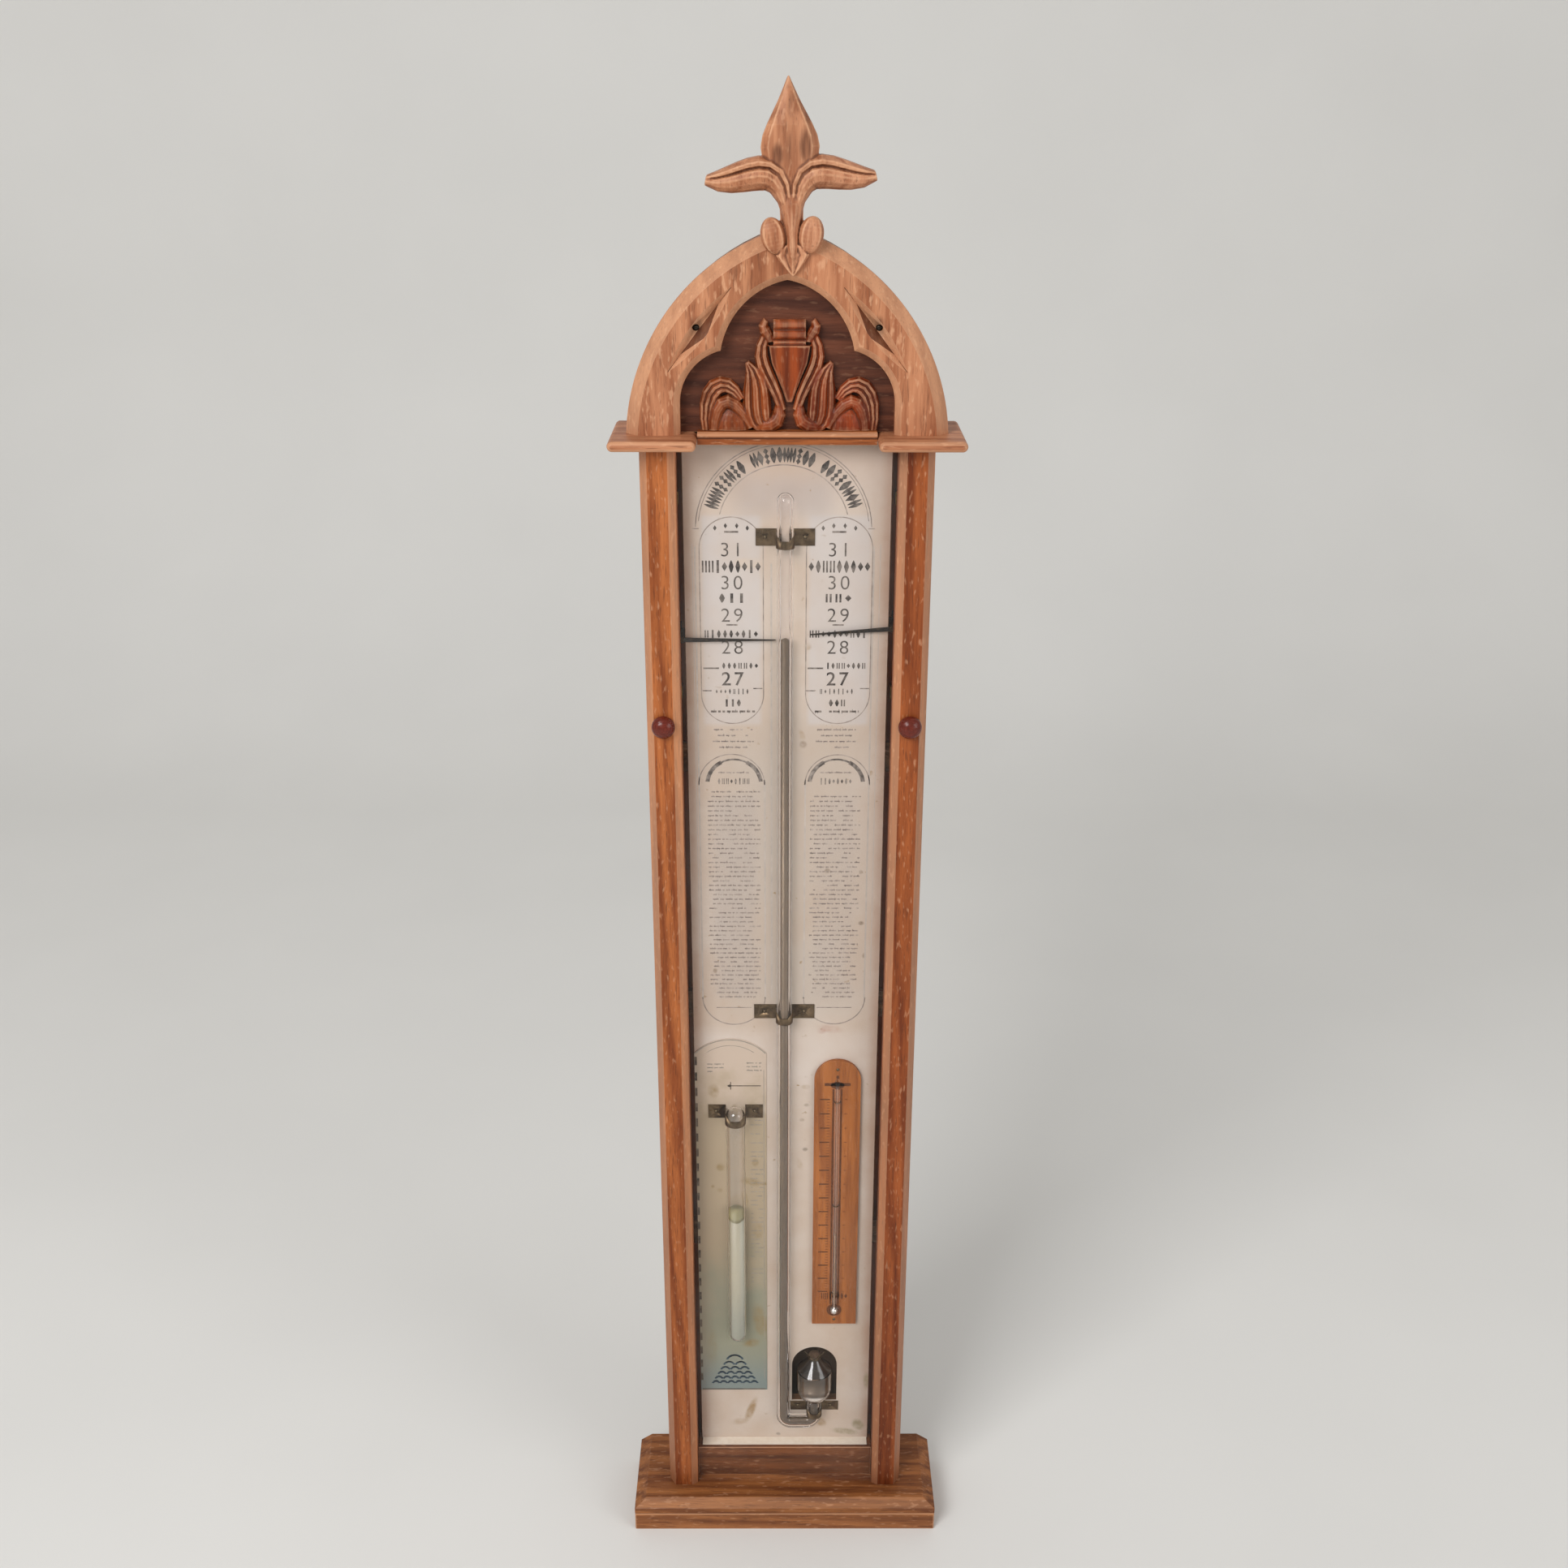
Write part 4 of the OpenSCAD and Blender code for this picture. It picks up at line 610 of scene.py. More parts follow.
class BAROMETER_OT_case(bpy.types.Operator):
    """Rounds and grains the plinth, posts, sides, rails and back"""

    bl_idname = "barometer.case"
    bl_label = "Case timber"

    def execute(self, context):
        t = context.scene.barometer.timber
        edge = t.edge / MM
        light, dark = tuple(t.case_light), tuple(t.case_dark)
        # one oak painted in two lights: the left post lighter as lit, the right post darker as in shade
        left = oak("left_post_oak_lit", tuple(1.08 * c for c in light), tuple(1.08 * c for c in dark), "Z",
                   (0.02, 0.01, 0.3), foot=True)
        right = oak("right_post_oak_shaded", tuple(k * c for k, c in zip((0.82, 0.7, 0.64), light)),
                    tuple(k * c for k, c in zip((0.8, 0.68, 0.62), dark)), "Z",
                    (0.37, 0.05, 1.7), foot=True)
        # the sides' faces into the case are painted lighter: painted light in the dim slots
        sides = oak("side_oak", light, dark, "Z", (0.6, 0.3, 0.9), foot=True,
                    inner=("X", SIDE_IN + 0.3, 0.4, tint(208, 112, 62), tint(208, 112, 62)))
        softened("left_post", "post_left", "case_oak", left, edge, shortest=12)
        softened("right_post", "post_right", "case_oak", right, edge, shortest=12)
        softened("left_side", "side_left", "case_oak", sides, 0.5, shortest=12)
        softened("right_side", "side_right", "case_oak", sides, 0.5, shortest=12)
        p_light, p_dark = tuple(t.plinth_light), tuple(t.plinth_dark)
        base = oak("plinth_base_oak", tint(170, 110, 66), tint(122, 72, 41), "X", (0.3, 0.2, 0.1), rays=0.25,
                   wear=0.6)
        top = oak("plinth_top_oak", p_light, p_dark, "X", (1.3, 0.7, 0.4), rays=0.25, wear=0.7, chamfer_light=0.12)
        softened("plinth_base", "plinth_foot", "plinth_oak", base, 1.1, shortest=12)
        softened("plinth_top", "plinth_slab", "plinth_oak", top, 0.8, shortest=12)
        rail = oak("rail_oak", tint(128, 76, 42), tint(82, 45, 24), "X", (2.1, 0.4, 0.8), rays=0.2)
        softened("bottom_rail", "rail_low", "case_oak", rail, 0.6, shortest=12)
        softened("top_rail", "rail_high", "case_oak", rail, 0.5, shortest=12)
        # the back board's face into the case: painted shade in the middle, seen through the cistern hole, and
        # painted light at the flanks, in the slots
        back = oak("back_oak", tint(150, 110, 74), tint(96, 66, 43), "Z", (3.1, 0.4, 0.8), rays=0.1,
                   rough=0.6,
                   inner=("Y", (BACK_Y / MM) - BACK_T + 0.3, 0.5, tint(86, 69, 56), tint(188, 114, 70)))
        softened("back_board", "back_panel", "back_oak", back, 0.5, shortest=12)
        inner = oak("inner_oak", tint(156, 116, 80), tint(104, 72, 48), "X", (0.1, 3.4, 0.8), rough=0.65)
        dress(inner, "board_battens", "glue_blocks", "register_board")
        return {"FINISHED"}


class BAROMETER_OT_head(bpy.types.Operator):
    """Rounds and grains the imposts, the arch and what stands behind it"""

    bl_idname = "barometer.head"
    bl_label = "Arched head"

    def execute(self, context):
        t = context.scene.barometer.timber
        light, dark = tuple(t.head_light), tuple(t.head_dark)
        low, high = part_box("arch_screws")
        screw_x, screw_z = high.x / MM - 2.5, (low.z + high.z) / 2 / MM
        # darker oval patches round the two screws of the arch
        darker_round_screws = [(side * screw_x, screw_z, 7, 10, 0.9) for side in (-1, 1)]
        arch = oak("arch_oak", light, dark, "Z", (0.9, 0.2, 0.5), pores=0.45, rays=0.5, wear=0.85,
                   scars=darker_round_screws)
        softened("arch_front", "arch", "pale_oak", arch, 0.6, shortest=1.0, turn=30)
        impost = oak("impost_oak", light, dark, "X", (0.4, 0.9, 0.2), pores=0.5)
        softened("left_impost", "impost_left", "pale_oak", impost, 0.6, shortest=6)
        softened("right_impost", "impost_right", "pale_oak", impost, 0.6, shortest=6)
        sill = oak("sill_oak", tuple(t.case_light), tuple(t.case_dark), "X", (0.1, 0.6, 0.3), pores=0.5)
        softened("sill_strip", "sill", "carved_oak", sill, 0.4, shortest=6)
        panel = oak("panel_oak", tuple(t.panel_light), tuple(t.panel_dark), "X", (0.2, 0.1, 0.7), rays=0.08)
        softened("tympanum_panel", "panel", "tympanum_oak", panel, 0.4, shortest=4)
        block = oak("block_oak", tuple(t.case_light), tuple(t.case_dark), "X", (0.8, 0.3, 0.1))
        softened("head_block", "head_core", "case_oak", block, 0.5, shortest=4)
        dress(metal("screw_metal", tint(70, 62, 54), tint(30, 26, 24), 0.45), "arch_screws")
        return {"FINISHED"}


# dark streaks on the spear: x, z, half width, half height and strength
FINIAL_STREAKS = (
    (12, 1199, 6, 15, 0.75), (-7, 1193, 5, 10, 0.7), (3, 1224, 5, 12, 0.45), (2, 1196, 6, 16, 0.35),
    (13, 1217, 3, 8, 0.6),
)


class BAROMETER_OT_carving(bpy.types.Operator):
    """Smooths the finial and the foliage, paints shade into their hollows and undersides and a highlight onto
    their ridges
    """

    bl_idname = "barometer.carving"
    bl_label = "Carving"

    def execute(self, context):
        t = context.scene.barometer.timber
        crown = oak("finial_oak", tuple(t.head_light), tuple(t.head_dark), "Z", (0.2, 0.4, 0.6), pores=0.4,
                    rays=0.3, hollow=True, sides=(1.06, 1.12, 1.2), scars=FINIAL_STREAKS)
        carved("finial", "finial_carved", "pale_oak", crown, t.carving_grain)
        # the right-hand half of the foliage is painted darker: painted shade
        leaf = oak("foliage_oak", tint(162, 80, 36), tint(104, 46, 20), "Z", (0.7, 0.1, 0.9), pores=0.35,
                   rays=0.1, rough=0.34, hollow=True, ridge_highlight=0.42, sides=(0.84, 0.6, 0.56))
        carved("tympanum_carving", "foliage", "carved_oak", leaf, t.carving_grain * 0.9)
        return {"FINISHED"}


class BAROMETER_OT_works(bpy.types.Operator):
    """Finishes the screws, cords, guides, pulleys, knobs and pointers"""

    bl_idname = "barometer.works"
    bl_label = "Knobs and works"

    def execute(self, context):
        looks = context.scene.barometer.metal
        dress(metal("screw_steel", tint(110, 104, 98), tint(58, 50, 44), 0.4), "plinth_screws", "back_screws",
              "left_idler_pin", "right_idler_pin")
        bright = metal("bright_brass", tint(196, 160, 96), tint(110, 84, 48), 0.3, 0.5)
        dress(bright, "left_spindle", "right_spindle", "left_idler", "right_idler", "left_guide",
              "right_guide")
        dress(metal("slider_brass", tint(74, 58, 42), tint(40, 31, 24), 0.45, 0.7), "left_slider",
              "right_slider")
        s = Shader("cord_line")
        twist = s.add("TexWave", {"Vector": s.place(s.where, scale=(1, 1, 0.6)), "Scale": 700.0,
                                  "Distortion": 1.0}, bands_direction="DIAGONAL").outputs["Fac"]
        s.surface(s.mix(twist, tint(150, 132, 96), tint(196, 182, 150)), 0.8, s.bump(twist, 0.5, 0.0002))
        dress(s.material, "left_cord", "right_cord")
        s = Shader("knob_polish")
        turned = s.noise(s.place(s.where, scale=(1, 4, 1)), 300, 4, 0.6)
        cloud = s.noise(s.where, 90, 3, 0.5)
        knob = tuple(looks.knob)
        shade = s.mix(s.span(turned, 0.3, 0.7), tuple(0.55 * c for c in knob), knob)
        shade = s.mix(s.span(cloud, 0.4, 0.7, 0.0, 0.5), shade, tint(86, 35, 25))
        s.surface(shade, s.span(turned, 0.3, 0.7, 0.2, 0.32), s.bump(turned, 0.1, 0.0002),
                  **{"Coat Weight": 0.16, "Coat Roughness": 0.08, "Specular IOR Level": 0.25})
        dress(s.material, "left_knob", "right_knob")
        s = Shader("pointer_black")
        rub = s.span(s.noise(s.where, 260, 4, 0.6), 0.5, 0.7)
        s.surface(s.mix(rub, tint(30, 25, 22), tint(72, 58, 44)), s.span(rub, 0, 1, 0.3, 0.5), Metallic=0.5)
        dress(s.material, "left_pointer", "right_pointer")
        return {"FINISHED"}


# areas of another tone: x from and to, z from and to, width of the soft rim, strength and colour
PAPER_AREAS = (
    (-78, 78, 500, 800, 40, 0.8, (180, 166, 153)), (-66, -17, 774, 944, 5, 0.85, (196, 189, 186)),
    (14, 65, 774, 944, 5, 0.85, (196, 189, 186)), (-48, 44, 930, 982, 22, 0.85, (174, 165, 162)),
    (-64, -19, 530, 722, 11, 0.4, (162, 152, 147)), (18, 60, 530, 720, 11, 0.3, (168, 156, 150)),
    (-78, 78, 440, 510, 16, 0.4, (212, 200, 192)), (-17, 14, 500, 925, 8, 0.35, (180, 168, 154)),
)

# stains: x, z, half width, half height, turn, strength and colour
BROWN, OLIVE, RED = (150, 118, 74), (134, 124, 88), (172, 128, 112)
PAPER_STAINS = (
    (-31, 98, 5, 19, -18, 0.85, BROWN), (-42, 84, 9, 5, 10, 0.4, BROWN),
    (56, 72, 16, 5, -8, 0.75, OLIVE), (68, 80, 7, 9, 30, 0.75, OLIVE),
    (33, 84, 6, 9, 35, 0.7, BROWN), (-6, 69, 3, 2.4, 0, 0.9, (90, 84, 80)),
    (37, 505, 13, 5, -8, 0.45, RED), (30, 503, 5, 4, 0, 0.4, RED),
    (75, 132, 4, 12, 0, 0.6, OLIVE), (17, 448, 5, 3, 0, 0.5, BROWN),
    (13, 760, 4, 4, 0, 0.75, (120, 98, 76)), (12, 768, 3, 6, 20, 0.4, BROWN),
    (16, 840, 4, 4, 0, 0.5, BROWN), (-29, 905, 14, 6, 0, 0.35, (206, 178, 142)),
    (33, 651, 3, 3, 0, 0.85, (122, 106, 88)), (60, 650, 2.4, 2.4, 0, 0.7, (122, 106, 88)),
    (61, 604, 3, 2.6, 0, 0.8, (122, 106, 88)), (66, 736, 2.4, 3, 0, 0.7, BROWN),
    (17, 385, 3, 2.6, 0, 0.8, (110, 98, 84)), (12, 370, 4, 9, 20, 0.4, BROWN),
    (-58, 560, 2.4, 3.4, 0, 0.7, (130, 112, 92)), (18, 430, 3, 2.2, 0, 0.7, (130, 112, 92)),
    (64, 574, 2.2, 3.2, 0, 0.7, (122, 106, 88)), (14, 415, 3, 2.2, 0, 0.6, (130, 112, 92)),
)


def plate_paper(plate):
    """Aged paper: clean and browned areas, foxing, stains at stated places, and painted shade along the sides
    and the top.
    """
    s = Shader("plate_paper")
    cloud = s.noise(s.where, 14, 5, 0.6)
    fibre = s.noise(s.where, 900, 3, 0.6)
    shade = s.mix(s.span(cloud, 0.35, 0.7), tuple(plate.paper), tuple(plate.paper_brown))
    shade = s.mix(s.span(fibre, 0.35, 0.7, 0.0, 0.25), shade, tuple(plate.paper_brown))
    for x0, x1, z0, z1, soft, strength, change in PAPER_AREAS:
        area = s.times(s.zone(x0, x1, z0, z1, soft), s.span(cloud, 0.25, 0.6, strength, strength * 0.6))
        shade = s.mix(area, shade, tint(*change))
    # painted shade of the posts along both sides of the paper
    far = s.maths("ABSOLUTE", s.axis("X"))
    edge = s.times(s.span(far, 0.066, 0.0768, 0.0, 0.75, smooth=True), s.span(cloud, 0.3, 0.6, 0.5, 1))
    shade = s.mix(edge, shade, tint(166, 132, 112))
    fox = s.span(s.noise(s.where, 210, 2, 0.45), 0.7, 0.76)
    area = s.span(s.noise(s.where, 22, 2, 0.5), 0.45, 0.62)
    shade = s.mix(s.times(fox, area, 0.75), shade, tuple(plate.stain))
    ragged = s.noise(s.where, 130, 5, 0.65)
    for x, z, half_w, half_h, turn, strength, stain in PAPER_STAINS:
        spot = s.blot(x, z, half_w, half_h, turn)
        spot = s.times(spot, s.span(ragged, 0.3, 0.62, 0.15, 1.0))
        shade = s.mix(s.times(spot, strength), shade, tint(*stain))
    # painted shade under the sill along the top of the paper
    low = s.span(s.axis("Z"), 0.93, 1.0, 0.0, 0.4, smooth=True)
    shade = s.mix(low, shade, tint(186, 158, 140))
    s.surface(shade, 0.82, s.bump(fibre, 0.25, 0.00015), **{"Specular IOR Level": 0.25})
    return s.material


def ink_material(name, ink, ground, fade, scale=160):
    """Printing ink that has faded in patches towards the colour under it."""
    s = Shader(name)
    patch = s.span(s.noise(s.where, scale, 5, 0.65), 0.38, 0.66)
    s.surface(s.mix(s.times(patch, fade), ink, ground), 0.75, **{"Specular IOR Level": 0.2})
    return s.material


class BAROMETER_OT_plate(bpy.types.Operator):
    """Ages the register plate and prints its outlines, numbers, borders and broken lines"""

    bl_idname = "barometer.plate"
    bl_label = "Register plate"

    def execute(self, context):
        plate = context.scene.barometer.plate
        line = plate.line / MM
        high = plate.digit_height / MM
        dress(plate_paper(plate), "register_paper")
        edge = Shader("ledge_paper")
        rub = edge.span(edge.noise(edge.where, 160, 4, 0.6), 0.35, 0.65)
        edge.surface(edge.mix(rub, tint(232, 221, 206), tint(224, 210, 192)), 0.8)
        dress(edge.material, "ledge_strip")
        ink = ink_material("plate_ink", tuple(plate.ink), tuple(plate.paper), 0.3)
        grey = ink_material("plate_grey", tuple(plate.grey_ink), tuple(plate.paper), 0.5)
        faint = ink_material("plate_faint", tint(178, 167, 158), tuple(plate.paper), 0.5)
        pick = random.Random(11)

        outlines = Print(PLATE_D)
        outlines.capsule(-65.2, -17.6, 777.5, 940.3, line)
        outlines.capsule(14.6, 63.8, 777.5, 940.3, line)
        title = (-2.5, 930.5)
        outlines.arc(*title, 65.2, 2, 178, line)
        outlines.arc(*title, 63.2, 6, 174, line * 0.7)
        outlines.arc(*title, 48.6, 14, 166, line)
        for x in (-67.6, 62.6):
            outlines.bar(x, 931.5, 5, line)
        for x0, x1 in ((-68.6, -17), (14.6, 65.4)):
            mid, r = (x0 + x1) / 2, (x1 - x0) / 2
            outlines.arc(mid, 535, r, 180, 360, line * 1.2)
            outlines.arc(mid, 726, r, 0, 180, line)
            outlines.bar(mid, 525.3, 29, line)
        outlines.finish("plate_outlines", grey)

        bands = Print(PLATE_D)
        foot = 534
        for x, top in ((-68.4, 918), (-16.9, 730), (14.9, 730), (64.8, 918), (-11.6, 905)):
            bands.bar(x, (top + foot) / 2, 1.3, top - foot)
        for x in (-70.4, 69.6):
            bands.bar(x, 730, 0.6, 380)
        bands.finish("plate_side_lines", faint)

        # outer and inner edge and middle of the two scales, whose inch numbers go down from 31
        columns = ((-65, -18, -41.3), (14.6, 63.8, 38.8))
        top_inch, inch = 916.0, 25.4
        numbers = Print(PLATE_D)
        for k in range(5):
            for _, _, mid in columns:
                numbers.number(str(31 - k), mid, top_inch - inch * k, high, 1.25, 0.12 if k > 3 else -0.1)
        numbers.finish("plate_numbers", ink)

        # the title band: pointed ovals and lozenges set round the arc, each as its distance outward from
        # the band's middle, its place aside, its width, its height, its sides and its waist
        ornament = Print(PLATE_D)
        band_r = 56
        marks = (
            ((0, 0, 4.8, 11.6, 12, 0.45),),
            ((3.8, 0, 3.8, 4.6, 4, 0), (0, 0, 3.8, 4.6, 4, 0), (-3.8, 0, 3.4, 4.6, 4, 0)),
            ((0, 0, 5.0, 11.6, 4, 0),),
            ((0, -1.25, 2.7, 11.4, 12, 0.45), (0, 1.25, 2.7, 11.4, 12, 0.45)),
        )
        for start, end in ((163, 121), (115, 66), (60, 18)):
            count = round(abs(end - start) / 5.0)
            for k in range(count):
                for outward, aside, w, h, sides, waist in pick.choice(marks):
                    r = band_r + outward
                    a = math.radians(start + (k + 0.5) * (end - start) / count) - aside / r
                    ornament.oval(title[0] + r * math.cos(a), title[1] + r * math.sin(a), w, h,
                                  90 - math.degrees(a), sides, waist)
        for x0, x1, mid in columns:
            ornament.border(x0 + 1, x1 - 1, 902.6, 10.0, 5.2, pick, 1.15)
            ornament.border(mid - 11, mid + 11, 878.2, 7.4, 6.4, pick, 1.1)
            ornament.border(x0 + 2, x1 - 3, 850.0, 6.4, 4.6, pick)
            ornament.border(x0 + 15, x1 - 3, 824.6, 5.2, 3.9, pick)
            ornament.border(mid - 14, mid + 13, 803.8, 4.6, 3.4, pick, 0.7)
            ornament.border(mid - 7, mid + 7, 794.4, 6.0, 4.6, pick, 1.1)
            for k in (-12, -4.2, 4.2, 12):
                ornament.oval(mid + k, 934.6 - abs(k) * 0.22, 2.6, 4.2, sides=4)
        ornament.finish("plate_borders", ink)

        rules = Print(PLATE_D)
        for x0, x1, mid in columns:
            rules.bar(mid, 929.1, 10.5, 1.5)
            rules.bar(mid, 857.2, 8.5, 1.2)
            rules.bar(x0 + 7.4, 822.6, 12, 1.3)
            rules.bar(x0 + 4, 804.4, 7, 0.9)
            rules.bar(x1 - 4, 806.2, 7, 0.9)
            rules.broken(mid - 17, mid + 17, 787.4, 3.0, pick, 0.97, 0.4)
            for start, end, wide in ((6, 62, 3.2), (62, 118, 1.5), (118, 174, 3.2)):
                rules.arc(mid + 0.4, 726.5, 21, start, end, wide)
            rules.border(mid - 13, mid + 13, 729.0, 5.4, 3.1, pick)
        rule_ink = ink_material("plate_rule_ink", tint(82, 74, 70), tuple(plate.paper), 0.5, 240)
        rules.finish("plate_rules", rule_ink)

        text = Print(PLATE_D)
        foot, pitch = 532, 4.1
        for x0, x1, top in ((-62, -20.5, 720), (18.8, 58.8, 716)):
            mid = (x0 + x1) / 2
            for k in range(4):
                half = (15, 12, 16, 11)[k]
                text.broken(mid - half, mid + half, 772.4 - 4.9 * k, 2.0, pick, 0.85)
            text.broken(mid - 12, mid + 12, 736.4, 1.8, pick, 0.9)
            z = top
            while z > foot:
                inset = max(0, 6 - (z - foot) * 0.5)
                start = x0 + inset + pick.choice((0, 0, 3))
                end = x1 - inset - pick.choice((0, 0, 6))
                text.broken(start, end, z, 1.9, pick, 0.88)
                z -= pitch
        text.finish("plate_fine_rows", grey)
        return {"FINISHED"}


class BAROMETER_OT_glass(bpy.types.Operator):
    """Gives the pane, the tube, the bottle and the mercury their finish, paints shade and a highlight on the
    mercury, and ages the clips
    """

    bl_idname = "barometer.glass"
    bl_label = "Glass, mercury and clips"

    def execute(self, context):
        looks = context.scene.barometer.metal
        s = Shader("window_glass")
        haze = s.span(s.noise(s.where, 9, 4, 0.6), 0.35, 0.75, 0.006, 0.022)
        s.surface(tuple(looks.pane), 0.08, Alpha=haze, **{"Specular IOR Level": 0.5})
        s.material.surface_render_method = "BLENDED"
        dress(s.material, "front_glass")

        dress(tube_glass(), "barometer_tube", "storm_tube", "thermometer_tube")

        s = Shader("mercury")
        film = s.noise(s.place(s.where, scale=(1, 1, 0.02)), 520, 3, 0.5)
        grey = tuple(looks.mercury)
        shade = s.mix(s.span(film, 0.35, 0.65), grey, tuple(0.72 * c for c in grey))
        # painted shade down the right-hand side of the mercury
        across = s.span(s.axis("X"), -0.0046, 0.0022)
        shade = s.mix(s.span(across, 0.62, 0.95, 0.0, 0.55, smooth=True), shade, tint(80, 64, 49))
        # painted highlight: a bright crescent at the foot of the bottle
        shade = s.mix(s.blot(27.2, 123.0, 12.5, 3.4), shade, tint(236, 228, 218))
        s.surface(shade, 0.42, Metallic=0.35, **{"Specular IOR Level": 0.35})
        swollen("mercury", "mercury_column", "mercury", s.material)
        s = Shader("thread_mercury")
        rise = s.span(s.axis("Z"), 0.2185, 0.2205, smooth=True)
        film = s.noise(s.where, 400, 3, 0.5)
        bright = s.mix(s.span(film, 0.35, 0.65), tint(246, 243, 238), tint(226, 220, 212))
        s.surface(s.mix(rise, bright, tint(104, 80, 60)), s.span(rise, 0, 1, 0.28, 0.45), Metallic=0.8)
        swollen("thermometer_thread", "thermometer_mercury", "mercury", s.material, 0.06)

        strap = metal("clip_brass", tuple(looks.brass), tuple(looks.brass_dark), 0.34, 0.7, 150, rim=0.85)
        for node in ("upper_tube_clip", "lower_tube_clip", "cistern_clip", "storm_clip"):
            softened(node, node.replace("clip", "strap"), "old_brass", strap, 0.3, shortest=2.5, turn=40)
        dress(metal("pin_brass", tint(120, 104, 80), tint(44, 36, 30), 0.35, 0.6, 500), "clip_pins",
              "thermometer_pins", "thermometer_staples", "cistern_wire")
        s = Shader("cork")
        grain = s.noise(s.where, 700, 5, 0.7)
        s.surface(s.mix(s.span(grain, 0.35, 0.65), tint(58, 42, 30), tint(98, 74, 52)), 0.85,
                  s.bump(grain, 0.5, 0.0004))
        dress(s.material, "cistern_bung")
        return {"FINISHED"}


def tube_glass():
    """Clear drawn glass that lets light through to what it holds."""
    s = Shader("tube_glass")
    seed = s.noise(s.place(s.where, scale=(1, 1, 0.05)), 500, 3, 0.5)
    glass = s.surface(tint(251, 250, 250), 0.03, s.bump(seed, 0.08, 0.0002),
                      **{"Transmission Weight": 1.0, "IOR": 1.46})
    clear = s.add("BsdfTransparent", {"Color": tint(232, 231, 230)})
    path = s.add("LightPath")
    both = s.add("MixShader", {0: path.outputs["Is Shadow Ray"], 1: glass.outputs[0], 2: clear.outputs[0]})
    s.tree.links.new(both.outputs[0], s.out.inputs[0])
    return s.material


# stains: x, z, half width, half height, turn and strength
CARD_STAINS = (
    (-61, 444, 6, 9, 10, 0.8), (-54, 427, 4, 3.4, 0, 0.8), (-43, 424, 5, 9, 0, 0.75),
    (-26, 372, 4, 5, 0, 0.85), (-56, 367, 5, 5, 0, 0.8), (-30, 352, 12, 5, -14, 0.7),
    (-18, 350, 5, 2.4, 0, 0.8), (-35, 335, 3, 12, 10, 0.6), (-57, 343, 3, 3, 0, 0.7),
    (-63, 347, 2, 2, 0, 0.7), (-22, 200, 9, 26, 12, 0.75), (-30, 176, 10, 6, 20, 0.8),
    (-24, 300, 6, 12, 0, 0.4), (-66, 170, 6, 30, 0, 0.3),
)


